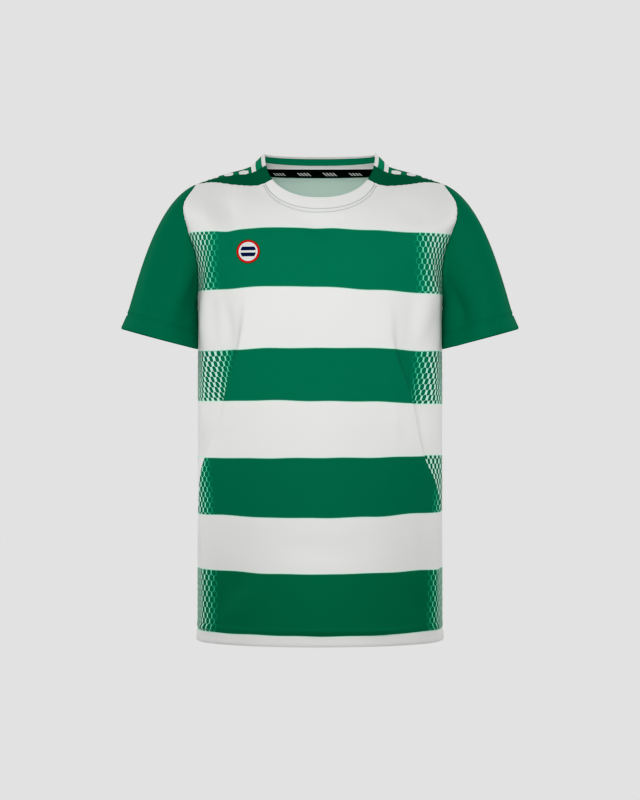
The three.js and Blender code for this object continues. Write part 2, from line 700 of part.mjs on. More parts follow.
// A point of a sleeve before folds: a smooth run from the armhole out to the cuff.
function sleevePoint(side, turn, share) {
  const place = armholePlace(side, turn);
  const { point: start, normal } = clothPoint(place.angle, place.level);
  start.x += side * SLEEVE_GAP;
  const under = (1 - Math.cos(radians(turn))) / 2;
  const forward = Math.sin(radians(turn));
  const tilt = radians(CUFF.tilt);
  const end = new THREE.Vector3(
    side * (CUFF.x + CUFF.halfWide * Math.cos(radians(turn)) * Math.cos(tilt)),
    CUFF.y - CUFF.halfDeep * forward,
    CUFF.z + CUFF.halfWide * Math.cos(radians(turn)) * Math.sin(tilt),
  );
  const startPull = lerp(SLEEVE_PULL.armTop, SLEEVE_PULL.armUnder, under ** 0.8);
  const endPull = lerp(SLEEVE_PULL.cuffTop, SLEEVE_PULL.cuffUnder, under);
  const leave = new THREE.Vector3(
    side * lerp(0.93, 0.16, under ** 1.4),
    -0.3 * forward,
    lerp(-0.366, -0.95, under),
  ).normalize().multiplyScalar(startPull);
  const lean = radians(SLEEVE_LEAN) * (1 - under);
  const arrive = new THREE.Vector3(side * Math.sin(lean), 0, -Math.cos(lean)).multiplyScalar(endPull);
  const t = share;
  const point = start.clone().multiplyScalar(2 * t ** 3 - 3 * t ** 2 + 1)
    .addScaledVector(leave, t ** 3 - 2 * t ** 2 + t)
    .addScaledVector(end, 3 * t ** 2 - 2 * t ** 3)
    .addScaledVector(arrive, t ** 3 - t ** 2);
  return { point, bodyNormal: normal };
}

// Sleeve: a closed tube wall from the armhole to the cuff.
function sleeve(name, side) {
  const turns = sleeveTurns();
  const hemShare = 1 - SLEEVE_HEM_DEPTH / 190;
  const grid = [];
  for (let j = SLEEVE_STEPS + 1; j >= 0; j -= 1) {
    const share = j > SLEEVE_STEPS ? 1 : hemShare * (j / SLEEVE_STEPS);
    const line = turns.map((turn) => {
      const { point, bodyNormal } = sleevePoint(side, turn, share);
      const step = 0.01;
      const low = sleevePoint(side, turn, Math.max(0, share - step)).point;
      const high = sleevePoint(side, turn, Math.min(1, share + step)).point;
      const before = sleevePoint(side, turn - 2, share).point;
      const after = sleevePoint(side, turn + 2, share).point;
      const normal = after.sub(before).cross(high.sub(low)).normalize().multiplyScalar(side);
      const shared = (1 - share) ** 6 * THREE.MathUtils.smoothstep(Math.cos(radians(turn)), -0.3, 0.5);
      normal.lerp(bodyNormal, shared).normalize();
      point.addScaledVector(normal, sleeveFoldLift(side, turn, share));
      return { point, normal, thick: share > hemShare - 0.001 ? HEM_CLOTH : CLOTH };
    });
    grid.push(side > 0 ? line : line.reverse());
  }
  sew(name, tubeWall(grid), GREEN, 0.7);
}

frontPanel();
backPanel();
shoulderFront('shoulder_front_left', 1);
shoulderFront('shoulder_front_right', -1);
shoulderBack('shoulder_back_left', 1);
shoulderBack('shoulder_back_right', -1);
neckbandFront();
collarBack();
neckTape();
sleeve('sleeve_left', 1);
sleeve('sleeve_right', -1);

export default garment;
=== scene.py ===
"""A youth football jersey, hollow and filled out as if it were worn, seen from the front."""
import math

import bmesh
import bpy
import numpy as np
from mathutils import Matrix, Vector
from mathutils.bvhtree import BVHTree


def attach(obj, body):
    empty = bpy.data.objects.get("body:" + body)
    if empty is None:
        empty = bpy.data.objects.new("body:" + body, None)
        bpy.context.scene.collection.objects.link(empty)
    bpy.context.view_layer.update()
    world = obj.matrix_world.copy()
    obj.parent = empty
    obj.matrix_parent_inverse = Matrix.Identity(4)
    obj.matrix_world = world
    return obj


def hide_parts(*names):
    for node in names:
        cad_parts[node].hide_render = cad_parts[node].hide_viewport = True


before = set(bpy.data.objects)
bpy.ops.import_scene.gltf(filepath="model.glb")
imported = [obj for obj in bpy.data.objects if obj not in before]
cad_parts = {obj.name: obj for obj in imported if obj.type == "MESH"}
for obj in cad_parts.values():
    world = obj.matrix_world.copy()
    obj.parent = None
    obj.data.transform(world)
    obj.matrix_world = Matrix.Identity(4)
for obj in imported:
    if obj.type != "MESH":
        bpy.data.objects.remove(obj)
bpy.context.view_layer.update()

MM = 0.001

# Driving dimensions, in millimetres
BODY_HALF_WIDTH = 156.5
HEM_Z = -597.0
ARMPIT_Z = -165.0
CLOTH = 1.2
RIB_CLOTH = 2.2
TAPE_CLOTH = 0.8
BODY_HEM_DEPTH = 15.2
SLEEVE_HEM_DEPTH = 20.0
SIDES = (("left", 1), ("right", -1))

# Sections of the body, from the hem up to the neck edge
SECTION_COLUMNS = ("level", "half", "z_front", "z_side", "z_back", "y_front", "y_side", "y_back",
                   "square", "drop")
SECTIONS = (
    (0.00, BODY_HALF_WIDTH, HEM_Z, HEM_Z, HEM_Z, -103, 0, 97, 2.15, 2),
    (0.35, BODY_HALF_WIDTH, -445, -445, -445, -101, 0, 93, 2.1, 2),
    (0.70, BODY_HALF_WIDTH, -296, -296, -296, -105, 0, 94, 2.1, 2),
    (1.00, BODY_HALF_WIDTH, ARMPIT_Z, ARMPIT_Z, ARMPIT_Z, -110, 0, 98, 2.2, 2),
    (1.20, 166, -138, -105, -128, -110, 2, 98, 2.4, 1.8),
    (1.35, 179, -118, -62, -98, -108, 3, 96, 2.5, 1.7),
    (1.50, 179, -98, -28, -66, -104, 3, 92, 2.5, 1.6),
    (1.65, 141, -80, -9, -38, -99, 4, 86, 2.35, 1.45),
    (1.80, 111, -64, 0.5, -9, -93, 4, 76, 2.25, 1.25),
    (1.90, 88.5, -53, 8, 10, -88, 6, 66, 2.2, 1.05),
    (2.00, 71, -40, 25, 26, -82, 12, 60, 2.3, 0.95),
)
SECTION = {name: np.array([row[i] for row in SECTIONS], float)
           for i, name in enumerate(SECTION_COLUMNS)}
PEAK_ROUNDING = 0.07

# Armhole and the seams that cross the shoulder
ARMHOLE = {"middle": 1.293, "rise": 0.293, "front": 26, "back": 25, "narrowing": 0.1}
ARMHOLE_CORNERS = {"front": 1.5, "shoulder": -1.5, "back": -20}
COLLAR_LEVEL = 1.9
FRONT_SEAM = {"angle": 55.5, "bow": 3.5}
SHOULDER_SEAM = {"angle": 75, "bow": 0}
BACK_SEAM = {"angle": 104, "bow": 0}
NECKBAND = {"level": COLLAR_LEVEL, "lift": 0.047, "angle": 58.3}
TAPE = {"low": 1.852, "high": 1.905, "start": 1, "inset": 2.8}
CUFF = {"x": 205.8, "y": 3, "z": -214, "half_wide": 48.7, "half_deep": 50, "tilt": 14.9}
SLEEVE_PULL = {"arm_top": 180, "arm_under": 22, "cuff_top": 140, "cuff_under": 70}
SLEEVE_LEAN = 20

# Folds of the body: face, three x, three z, height, reach inwards, reach outwards
BODY_FOLDS = (
    (-1, (-126, -124, -118), (-112, -175, -222), -3.5, 12, 12),
    (-1, (148, 134, 116), (-140, -178, -226), 3.5, 14, 10),
    (-1, (92, 118, 150), (-40, -56, -66), -3, 15, 15),
    (-1, (-112, -116, -124), (-40, -62, -100), -3, 13, 13),
    (-1, (0, 0, 2), (-60, -70, -92), -2.5, 26, 26),
    (1, (-60, -10, 52), (-392, -406, -398), -4, 22, 22),
    (1, (-128, -104, -74), (-96, -120, -134), -3, 14, 14),
    (1, (122, 100, 66), (-104, -132, -150), -3, 14, 14),
)

# The four long drape folds: level, angle from the panel's centre line, share of the full step
DRAPES = {
    "front_right": ((0.25, 74, 0), (0.375, 73, 0.45), (0.537, 63.5, 1), (0.704, 48, 1),
                    (0.85, 37.5, 0.75), (0.98, 33.5, 0.15), (1.05, 33, 0)),
    "front_left": ((0.26, 73, 0), (0.389, 71.5, 0.45), (0.546, 53, 1), (0.704, 44, 1),
                   (0.85, 33.5, 0.6), (0.95, 31.5, 0.1), (1.02, 31, 0)),
    "back_right": ((0.2, 75, 0), (0.33, 73, 0.4), (0.47, 64, 0.9), (0.62, 51, 1),
                   (0.8, 40, 0.7), (0.96, 35, 0.1), (1.03, 34, 0)),
    "back_left": ((0.3, 74, 0), (0.42, 72, 0.5), (0.56, 60, 1), (0.72, 46, 0.95),
                  (0.87, 36, 0.5), (0.97, 33, 0.1), (1.04, 32, 0)),
}
DRAPE_STEP = 8.5
DRAPE_PROFILE = ((-70, 0), (-34, 0.28), (-14, 0.8), (0, 1), (3.5, 0.55), (7.5, -0.5), (13, -0.8),
                 (30, -0.7), (56, 0))
DRAPE_MM_PER_DEGREE = 2.25

# Folds of the sleeves: side, angles round the armhole, shares of the way, height, width
SLEEVE_FOLDS = (
    (-1, (70, 76), (0.12, 0.8), -3.2, 15),
    (-1, (118, 108), (0.1, 0.62), 3, 16),
    (-1, (-98, -88), (0.15, 0.75), -3, 18),
    (1, (84, 66), (0.15, 0.85), -3, 17),
    (1, (124, 112), (0.1, 0.6), 3, 14),
    (1, (-84, -100), (0.2, 0.8), -3, 16),
)

# Finer folds of the sleeves, too soft for the solids: the same columns
FINE_SLEEVE_FOLDS = (
    (1, (126, 120), (0, 1.1), -14, 28),
    (1, (62, 58), (0.08, 1.06), 6.5, 26),
    (1, (36, 20), (0.3, 1.1), -1.6, 12),
    (-1, (138, 128), (0, 1.1), -5.4, 26),
    (-1, (70, 62), (0.2, 1.1), 4.5, 20),
    (-1, (30, 40), (0.1, 0.7), -1.8, 12),
    (1, (-112, -100), (0.1, 1.05), -2.6, 15),
    (1, (-60, -72), (0.2, 1.1), 2.4, 18),
    (-1, (-126, -108), (0.1, 0.9), -2.4, 14),
    (-1, (-58, -50), (0.15, 1.1), 2.6, 18),
    (1, (178, 176), (0.15, 1.15), 2.6, 22),
    (-1, (178, 176), (0.15, 1.15), 2.6, 22),
)

# Steps of the plain model, in which places on the panels are counted
SIDE_STEPS = 17
ARMHOLE_FRONT_STEPS = 15
ARMHOLE_BACK_STEPS = 13
STRIP_END_STEPS = 3
SEAM_STEPS = 8
FOLD_COLUMNS = (-9, -5, -2, 0, 1.7, 3.7, 8)
INNER_COLUMNS = 6
OUTER_COLUMNS = 4
HALF_COLUMNS = INNER_COLUMNS + len(FOLD_COLUMNS) - 1 + OUTER_COLUMNS
COLUMNS = 2 * HALF_COLUMNS
COLLAR_STEPS = 2 * (HALF_COLUMNS - SEAM_STEPS + STRIP_END_STEPS)

# Mesh of the dressed pieces: places in a step of the plain model, and closer ones at its rims
COLUMNS_A_STEP = 5.25
UPPER_ROWS_A_STEP = 4.4
SIDE_ROWS_A_STEP = 6
STRIP_ROWS_A_STEP = 5
RIM_PLACES = np.array((0.04, 0.09, 0.16, 0.26))
FAR_FROM_RIM = 99.0
HEM_ROWS = (0, 0.03, 0.07, 0.12, 0.25, 0.38, 0.44, 0.48, 0.52, 0.56, 0.6, 0.64, 0.68, 0.72, 0.76,
            0.8, 0.84, 0.88, 0.93, 1, 1.02, 1.04, 1.07, 1.1, 1.13, 1.24)
SLEEVE_COLUMNS = 169
SLEEVE_ROWS = np.concatenate(((0, 0.003, 0.007, 0.012, 0.02), np.linspace(0.03, 0.86, 56),
                              np.linspace(0.868, 0.912, 12), np.linspace(0.925, 0.985, 6),
                              (0.99, 0.995, 1)))

# Form of a turned-up hem, in millimetres
HEM = {"pad": 0.45, "roll": 1.3, "roll_reach": 2.6, "groove": 0.4, "groove_reach": 1.6,
       "flare": 0.11}
BODY_RIDGE = {"at_sides": 0.6, "more_inside": 3.6, "starts": 4, "full": 55, "wide": 3.4}
CUFF_RIDGE = {"height": 0.7, "wide": 2.4}

# Distances of the stitch rows from the rim beside them
NECK_STITCHES = (1.3, 6.6)
HEM_STITCHES = (22.4, 27.6)
CUFF_STITCHES = (18.6, 23.4)

# Print of the body: heights of each hoop's edges, and how far across its fade starts on the wearer's
# right and left, at its top and at its bottom
HOOPS = (
    {"top": -79.2, "bottom": -151.8, "fade_right": (125, 126), "fade_left": (116, 119)},
    {"top": -228.3, "bottom": -292.5, "fade_right": (112, 124), "fade_left": (121, 122)},
    {"top": -363.3, "bottom": -436.5, "fade_right": (134, 131), "fade_left": (141, 137)},
    {"top": -506.9, "bottom": -582.5, "fade_right": (127, 128), "fade_left": (132, 133)},
)

# How far each edge of the hoops hangs low at five even places across the front, as worn cloth lets it,
# and how much of that the back keeps at the three inner places
DRIFT_REACH = 130
BACK_DRIFT = (0.4, 0.2, 0.3)
PRINT_DRIFT = (
    (3.2, -1.0, -0.9, 2.8, 5.0), (2.4, -0.3, 1.0, 4.4, 7.0),
    (1.8, -0.6, -0.6, -1.2, 2.4), (0.6, -0.2, 0.8, 1.0, 4.6),
    (0.8, 0.7, -0.4, -0.4, -1.6), (-1.2, 1.1, 1.0, 0.0, -3.4),
    (-2.4, -0.3, 0.0, -0.7, -2.2), (0.2, 0.2, 1.1, 0.9, -1.2),
)

# Width of cloth that each long drape tucks out of sight, by level, and how it sets in past the fold
TUCK_SETS_IN = (2.5, 6)
TUCKED = {
    "front_right": ((0.26, 0), (0.35, 108), (0.56, 112), (0.64, 18), (0.71, 12), (0.84, 4), (1, 0)),
    "front_left": ((0.26, 0), (0.35, 22), (0.56, 26), (0.64, 6), (0.86, 4), (1, 0)),
    "back_right": ((0.26, 0), (0.35, 20), (0.56, 24), (0.64, 10), (0.86, 8), (1, 0)),
    "back_left": ((0.26, 0), (0.35, 24), (0.56, 30), (0.64, 16), (0.86, 10), (1, 0)),
}

# Finer folds, too shallow for the solids: the same columns as the folds of the body
FINE_FOLD_DEPTH = 1.5
FINE_FOLDS = (
    (-1, (-144, -144, -145), (-430, -510, -600), 3.4, 14, 6),
    (-1, (143, 143, 144), (-430, -510, -600), 3.4, 14, 6),
    (-1, (-143, -143, -143), (-140, -205, -275), 4.4, 15, 7),
    (-1, (142, 143, 143), (-140, -205, -275), 4.8, 16, 7),
    (-1, (-129, -134, -140), (-84, -125, -170), 2.4, 14, 9),
    (-1, (131, 135, 140), (-90, -130, -175), 2.4, 14, 9),
    (-1, (-127, -132, -139), (-270, -315, -362), -6.5, 13, 14),
    (-1, (126, 131, 138), (-280, -325, -372), -6.5, 12, 14),
    (-1, (-150, -142, -134), (-48, -64, -84), 2.0, 12, 9),
    (-1, (-118, -117, -114), (-34, -54, -76), -1.6, 11, 11),
    (-1, (168, 160, 148), (-58, -70, -84), 3.4, 9, 8),
    (-1, (-116, -115, -116), (-80, -100, -122), -1.7, 7, 8),
    (-1, (-103, -102, -104), (-82, -102, -130), 0.9, 9, 8),
    (-1, (-24, -2, 14), (-64, -78, -90), -2.2, 10, 10),
    (-1, (-143, -143, -141), (-160, -192, -220), 1.3, 6, 6),
    (-1, (-134, -133, -131), (-158, -188, -222), -1.5, 5, 5),
    (-1, (-125, -125, -124), (-164, -192, -219), 1.1, 5, 5),
    (-1, (-117, -116, -118), (-182, -204, -226), -1.3, 6, 6),
    (-1, (112, 114, 112), (-170, -196, -226), -1.3, 7, 7),
    (-1, (124, 125, 123), (-160, -190, -220), 1.5, 6, 6),
    (-1, (139, 138, 136), (-156, -184, -214), -1.4, 6, 6),
    (-1, (88, 92, 92), (-296, -318, -346), 1.2, 6, 6),
    (-1, (100, 103, 104), (-296, -320, -348), -0.9, 6, 6),
    (-1, (60, 66, 68), (-236, -262, -290), -0.8, 12, 12),
    (-1, (-84, -80, -72), (-374, -396, -424), -1.3, 14, 14),
    (-1, (-66, -4, 60), (-470, -478, -474), -2.0, 17, 17),
    (-1, (-60, -86, -116), (-512, -540, -566), 2.3, 15, 14),
    (-1, (-92, -106, -118), (-508, -524, -546), -2.0, 12, 12),
    (-1, (104, 118, 132), (-524, -546, -568), -1.6, 14, 14),
    (-1, (129, 129, 128), (-440, -466, -496), 1.0, 5, 5),
    (-1, (118, 117, 118), (-440, -468, -498), -0.9, 6, 6),
    (-1, (-132, -128, -130), (-450, -480, -508), 1.1, 8, 8),
    (1, (-146, -140, -130), (-60, -84, -120), 1.8, 11, 9),
    (1, (150, 141, 134), (-66, -92, -130), 1.6, 10, 9),
    (1, (-118, -112, -110), (-70, -96, -140), -1.5, 9, 9),
    (1, (112, 110, 104), (-80, -110, -150), -1.4, 9, 9),
    (1, (-40, -6, 34), (-62, -78, -72), -1.8, 20, 20),
    (1, (-136, -133, -130), (-170, -200, -236), 1.3, 7, 7),
    (1, (-122, -121, -118), (-176, -206, -240), -1.3, 6, 6),
    (1, (134, 130, 128), (-168, -196, -232), 1.2, 7, 7),
    (1, (120, 117, 115), (-172, -204, -238), -1.2, 6, 6),
    (1, (-70, -64, -66), (-250, -290, -330), 1.0, 12, 12),
    (1, (56, 66, 74), (-280, -322, -352), -1.2, 14, 14),
    (1, (-96, -40, 10), (-474, -486, -480), -1.8, 16, 16),
    (1, (60, 88, 118), (-506, -536, -568), 2.1, 15, 15),
    (1, (-124, -108, -96), (-520, -544, -566), -1.6, 13, 13),
)


def lerp(a, b, t):
    """Straight value between a and b."""
    return a + (b - a) * t


def smooth(low, high, value):
    """Smooth step from 0 at low to 1 at high."""
    t = np.clip((value - low) / (high - low), 0, 1)
    return t * t * (3 - 2 * t)


def bump(distance, reach):
    """1 at no distance, falling away smoothly over a reach."""
    return np.exp(-((distance / reach) ** 2))


def between(keys, values, at):
    """Smooth value between table rows, by Catmull-Rom."""
    keys = np.asarray(keys, float)
    values = np.asarray(values, float)
    last = len(keys) - 1
    high = np.clip(np.searchsorted(keys, at, side="left"), 1, last)
    low = high - 1
    before = np.maximum(high - 2, 0)
    after = np.minimum(high + 1, last)
    span = keys[high] - keys[low]
    t = (at - keys[low]) / span
    start = (values[high] - values[before]) / (keys[high] - keys[before]) * span
    end = (values[after] - values[low]) / (keys[after] - keys[low]) * span
    t2 = t * t
    t3 = t2 * t
    return ((2 * t3 - 3 * t2 + 1) * values[low] + (t3 - 2 * t2 + t) * start
            + (3 * t2 - 2 * t3) * values[high] + (t3 - t2) * end)


def plain_point(angle, level):
    """The body's form without folds, in millimetres. Angle is in degrees from centre front."""
    row = {name: between(SECTION["level"], SECTION[name], level) for name in SECTION_COLUMNS[1:]}
    sine = np.sin(np.radians(angle))
    cosine = np.cos(np.radians(angle))
    across = np.sign(sine) * np.abs(sine) ** (2 / row["square"])
    deep = np.abs(cosine) ** (2 / row["square"])
    y_centre = np.where(cosine > 0, row["y_front"], row["y_back"])
    z_centre = np.where(cosine > 0, row["z_front"], row["z_back"])
    rounded = (deep ** 2 + PEAK_ROUNDING ** 2) ** (row["drop"] / 2) - PEAK_ROUNDING ** row["drop"]
    full = (1 + PEAK_ROUNDING ** 2) ** (row["drop"] / 2) - PEAK_ROUNDING ** row["drop"]
    return np.stack((row["half"] * across, lerp(row["y_side"], y_centre, deep),
                     lerp(row["z_side"], z_centre, rounded / full)), -1)


def unit(vectors):
    """Vectors at length one."""
    return vectors / np.maximum(np.linalg.norm(vectors, axis=-1, keepdims=True), 1e-9)


def plain_normal(angle, level):
    """Direction out of the body's plain form."""
    step = 0.01
    along = (plain_point(angle, np.minimum(2, level + step))
             - plain_point(angle, np.maximum(0, level - step)))
    around = plain_point(angle + 1, level) - plain_point(angle - 1, level)
    return unit(np.cross(around, along))


def fold_lift(fold, x, z):
    """How far one placed fold lifts the cloth at places in the front view."""
    _, (x0, x1, x2), (z0, z1, z2), height, inner, outer = fold
    t = np.linspace(0, 1, 41)
    bend_x = 2 * x1 - (x0 + x2) / 2
    bend_z = 2 * z1 - (z0 + z2) / 2
    line_x = (1 - t) ** 2 * x0 + 2 * t * (1 - t) * bend_x + t * t * x2
    line_z = (1 - t) ** 2 * z0 + 2 * t * (1 - t) * bend_z + t * t * z2
    gap = np.hypot(x[..., None] - line_x, z[..., None] - line_z)
    nearest = gap.argmin(-1)
    distance = gap.min(-1)
    outward = np.abs(x) > np.abs(line_x[nearest])
    reach = np.where(outward, outer, inner)
    taper = np.sin(np.pi * np.minimum(1, 0.12 + 0.76 * t[nearest])) ** 1.2
    return height * taper * bump(distance, reach)


def drape_at(table, column, level):
    """Reading of a drape table, held at its ends."""
    keys = [row[0] for row in table]
    values = [row[column] for row in table]
    return between(keys, values, np.clip(level, keys[0], keys[-1]))


def drape_lift(angle, level):
    """How far the long drape folds lift the cloth."""
    turned = (angle + 540) % 360 - 180
    front = np.abs(turned) <= 90
    from_centre = np.where(front, np.abs(turned), 180 - np.abs(turned))
    at = [row[0] for row in DRAPE_PROFILE]
    lifts = [row[1] for row in DRAPE_PROFILE]
    total = np.zeros(np.broadcast(angle, level).shape)
    for name, table in DRAPES.items():
        here = (front == name.startswith("front")) & ((turned > 0) == name.endswith("left"))
        strength = np.maximum(drape_at(table, 2, level), 0)
        distance = (from_centre - drape_at(table, 1, level)) * DRAPE_MM_PER_DEGREE
        inside = here & (distance > at[0]) & (distance < at[-1])
        lift = between(at, lifts, np.clip(distance, at[0], at[-1]))
        towards_seam = np.minimum(1, (90 - from_centre) / 9)
        total += np.where(inside, DRAPE_STEP * strength * towards_seam * lift, 0)
    return total


def cloth_point(angle, level, finer_folds=False):
    """The body's form with its folds, and the direction out of the cloth."""
    angle, level = np.broadcast_arrays(np.asarray(angle, float), np.asarray(level, float))
    point = plain_point(angle, level)
    normal = plain_normal(angle, level)
    face = np.where(np.cos(np.radians(angle)) > 0, -1, 1)
    lift = drape_lift(angle, level)
    for fold in BODY_FOLDS:
        lift = lift + np.where(face == fold[0], fold_lift(fold, point[..., 0], point[..., 2]), 0)
    for fold in FINE_FOLDS if finer_folds else ():
        finer = FINE_FOLD_DEPTH * fold_lift(fold, point[..., 0], point[..., 2])
        lift = lift + np.where(face == fold[0], finer, 0)
    return point + normal * lift[..., None], normal


def armhole_place(side, turn):
    """Angle and level on one armhole, from the armhole's own angle in degrees."""
    sine = np.sin(np.radians(turn))
    cosine = np.cos(np.radians(turn))
    reach = np.where(sine > 0, ARMHOLE["front"], ARMHOLE["back"])
    width = 1 - ARMHOLE["narrowing"] + ARMHOLE["narrowing"] * cosine
    return side * (90 - reach * sine * width), ARMHOLE["middle"] + ARMHOLE["rise"] * cosine


def shoulder_seam(side, seam, top_level, corner, t):
    """Angle and level along a seam across the shoulder, from the neck outwards."""
    end_angle, end_level = armhole_place(side, corner)
    bow = seam["bow"] * np.sin(np.pi * t)
    angle = side * lerp(seam["angle"], np.abs(end_angle), t) - side * bow
    return angle, lerp(top_level, end_level, t)


def front_seam(side, t):
    """Seam between the front and the dark inset."""
    return shoulder_seam(side, FRONT_SEAM, 2, ARMHOLE_CORNERS["front"], t)


def middle_seam(side, t):
    """Seam along the shoulder."""
    return shoulder_seam(side, SHOULDER_SEAM, 2, ARMHOLE_CORNERS["shoulder"], t)


def back_seam(side, t):
    """Seam between the shoulder strip and the back."""
    return shoulder_seam(side, BACK_SEAM, COLLAR_LEVEL, ARMHOLE_CORNERS["back"], t)


def neckband_level(angle):
    """Level of the neckband's seam at an angle from centre front."""
    return NECKBAND["level"] + NECKBAND["lift"] * (angle / NECKBAND["angle"]) ** 2


def find_neckband_corner():
    """Share of the front seam at which the neckband's seam meets it."""
    near, far = 0.0, 1.0
    for _ in range(30):
        middle = (near + far) / 2
        angle, level = front_seam(1, middle)
        if level > neckband_level(abs(angle)):
            near = middle
        else:
            far = middle
    return near


NECKBAND_CORNER = find_neckband_corner()
_top_level, _foot_level = middle_seam(1, 0)[1], middle_seam(1, 1)[1]
COLLAR_START = (_top_level - COLLAR_LEVEL) / (_top_level - _foot_level)


def patch(bottom, top, left, right, columns, rows, last_column, last_row):
    """Angle and level over a grid of places, from the four edges of a piece."""
    u = columns[None, :] / last_column
    w = rows[:, None] / last_row
    ends = (np.array([0.0]), np.array([float(last_column)]))
    place = []
    for key in range(2):
        low = bottom(columns)[key][None, :]
        high = top(columns)[key][None, :]
        near = left(rows)[key][:, None]
        far = right(rows)[key][:, None]
        corner = [edge(end)[key][0] for edge in (bottom, top) for end in ends]
        rails = lerp(low, high, w) + lerp(near, far, u)
        corners = lerp(lerp(corner[0], corner[1], u), lerp(corner[2], corner[3], u), w)
        place.append(rails - corners)
    return place


def body_column(front, c, level):
    """Angle of a fractional column of the front or the back panel at a level."""
    from_middle = c - HALF_COLUMNS
    side = np.where(from_middle < 0, -1, 1)
    step = np.abs(from_middle)
    angle = 0
    for name, sign in SIDES:
        table = DRAPES[("front_" if front else "back_") + name]
        fold_angle = drape_at(table, 1, level)
        near = len(FOLD_COLUMNS) - 1
        inner = (fold_angle + FOLD_COLUMNS[0]) * (step / INNER_COLUMNS)
        beside = fold_angle + np.interp(step - INNER_COLUMNS, range(near + 1), FOLD_COLUMNS)
        last = fold_angle + FOLD_COLUMNS[near]
        outer = lerp(last, 90, (step - INNER_COLUMNS - near) / OUTER_COLUMNS)
        along = np.where(step <= INNER_COLUMNS, inner,
                         np.where(step <= INNER_COLUMNS + near, beside, outer))
        even = 90 * (step / HALF_COLUMNS)
        here = (side > 0) == ((sign > 0) == front)
        angle = angle + np.where(here, side * lerp(along, even, smooth(0.84, 1, level)), 0)
    return angle if front else 180 + angle


def side_level(j):
    """Level of a fractional row below the armpit."""
    return np.interp(j, (0, 1, SIDE_STEPS), (0, BODY_HEM_DEPTH / (ARMPIT_Z - HEM_Z), 1))


def front_top(c):
    """Top edge of the front: two shoulder seams with the neckband's seam between."""
    reach = abs(front_seam(1, NECKBAND_CORNER)[0])
    middle = lerp(-reach, reach, (c - SEAM_STEPS) / (COLUMNS - 2 * SEAM_STEPS))
    left = front_seam(-1, lerp(1, NECKBAND_CORNER, c / SEAM_STEPS))
    right = front_seam(1, lerp(1, NECKBAND_CORNER, (COLUMNS - c) / SEAM_STEPS))
    places = (middle, neckband_level(middle))
    return tuple(np.where(c < SEAM_STEPS, left[k],
                          np.where(c > COLUMNS - SEAM_STEPS, right[k], places[k])) for k in range(2))


def back_top(c):
    """Top edge of the back: two strip seams with the collar seam between."""
    share = (c - SEAM_STEPS) / (COLUMNS - 2 * SEAM_STEPS)
    middle = (lerp(BACK_SEAM["angle"], 360 - BACK_SEAM["angle"], share), COLLAR_LEVEL + 0 * c)
    left = back_seam(1, 1 - c / SEAM_STEPS)
    right = back_seam(1, 1 - (COLUMNS - c) / SEAM_STEPS)
    right = (360 - right[0], right[1])
    return tuple(np.where(c < SEAM_STEPS, left[k],
                          np.where(c > COLUMNS - SEAM_STEPS, right[k], middle[k])) for k in range(2))


def collar_seam_angle(c):
    """Angle along the collar seam, from shoulder seam to shoulder seam round the back."""
    foot = middle_seam(1, COLLAR_START)[0]
    back = BACK_SEAM["angle"]
    return np.interp(c, (0, STRIP_END_STEPS, COLLAR_STEPS - STRIP_END_STEPS, COLLAR_STEPS),
                     (foot, back, 360 - back, 360 - foot))


def merged(*lists):
    """Places of several lists in order, each once."""
    return np.array(sorted(set(np.round(np.concatenate(lists), 5))))


def finer(last, per_step, first_rim=True):
    """Fractional places from 0 to last, closer together at the rims."""
    even = np.linspace(0, last, int(round(last * per_step)) + 1)
    return merged(even, RIM_PLACES if first_rim else (), last - RIM_PLACES)


# Mesh helpers

def new_piece(name, bm):
    """A smooth-shaded object of a finished mesh."""
    mesh = bpy.data.meshes.new(name)
    bm.to_mesh(mesh)
    bm.free()
    mesh.polygons.foreach_set("use_smooth", [True] * len(mesh.polygons))
    piece = bpy.data.objects.new(name, mesh)
    bpy.context.scene.collection.objects.link(piece)
    return piece


def grid_mesh(name, points, uv, attributes=(), closed=False):
    """A sheet from a grid of points in millimetres, with its print map and attributes."""
    rows, columns = points.shape[:2]
    bm = bmesh.new()
    bmesh.ops.create_grid(bm, x_segments=columns - 1, y_segments=rows - 1, size=1)
    uv_layer = bm.loops.layers.uv.new("print")
    layers = [bm.verts.layers.float.new(label) for label, _ in attributes]
    place_of = {}
    for vert in bm.verts:
        i = int(round((vert.co.x + 1) / 2 * (columns - 1)))
        j = int(round((vert.co.y + 1) / 2 * (rows - 1)))
        place_of[vert.index] = (j, i)
    bm.verts.index_update()
    for face in bm.faces:
        for loop in face.loops:
            j, i = place_of[loop.vert.index]
            loop[uv_layer].uv = (uv[0][j, i] * MM, uv[1][j, i] * MM)
    for vert in bm.verts:
        j, i = place_of[vert.index]
        for layer, (_, values) in zip(layers, attributes):
            vert[layer] = float(values[j, i])
        vert.co = Vector(points[j, i]) * MM
    if closed:
        bmesh.ops.remove_doubles(bm, verts=bm.verts, dist=0.00005)
    return new_piece(name, bm)


def thicken(piece, thickness, material, inside, edge=0.4):
    """Gives a sheet its wall, with rounded rims and its own inner face."""
    piece.data.materials.append(material)
    piece.data.materials.append(inside)
    wall = piece.modifiers.new("wall", "SOLIDIFY")
    wall.thickness = thickness * MM
    wall.offset = -1
    wall.use_even_offset = False
    wall.material_offset = 1
    wall.material_offset_rim = 0
    rims = piece.modifiers.new("rims", "BEVEL")
    rims.width = edge * MM
    rims.segments = 2
    rims.limit_method = "ANGLE"
    rims.angle_limit = math.radians(50)
    return piece


def rim_distance(points, edge):
    """Distance in millimetres of each grid point from one rim of the grid."""
    axis = 0 if edge in ("bottom", "top") else 1
    flipped = edge in ("top", "right")
    work = np.flip(points, axis) if flipped else points
    steps = np.linalg.norm(np.diff(work, axis=axis), axis=-1)
    pad = np.zeros_like(steps.take([0], axis))
    total = np.concatenate((pad, np.cumsum(steps, axis)), axis)
    return np.flip(total, axis) if flipped else total


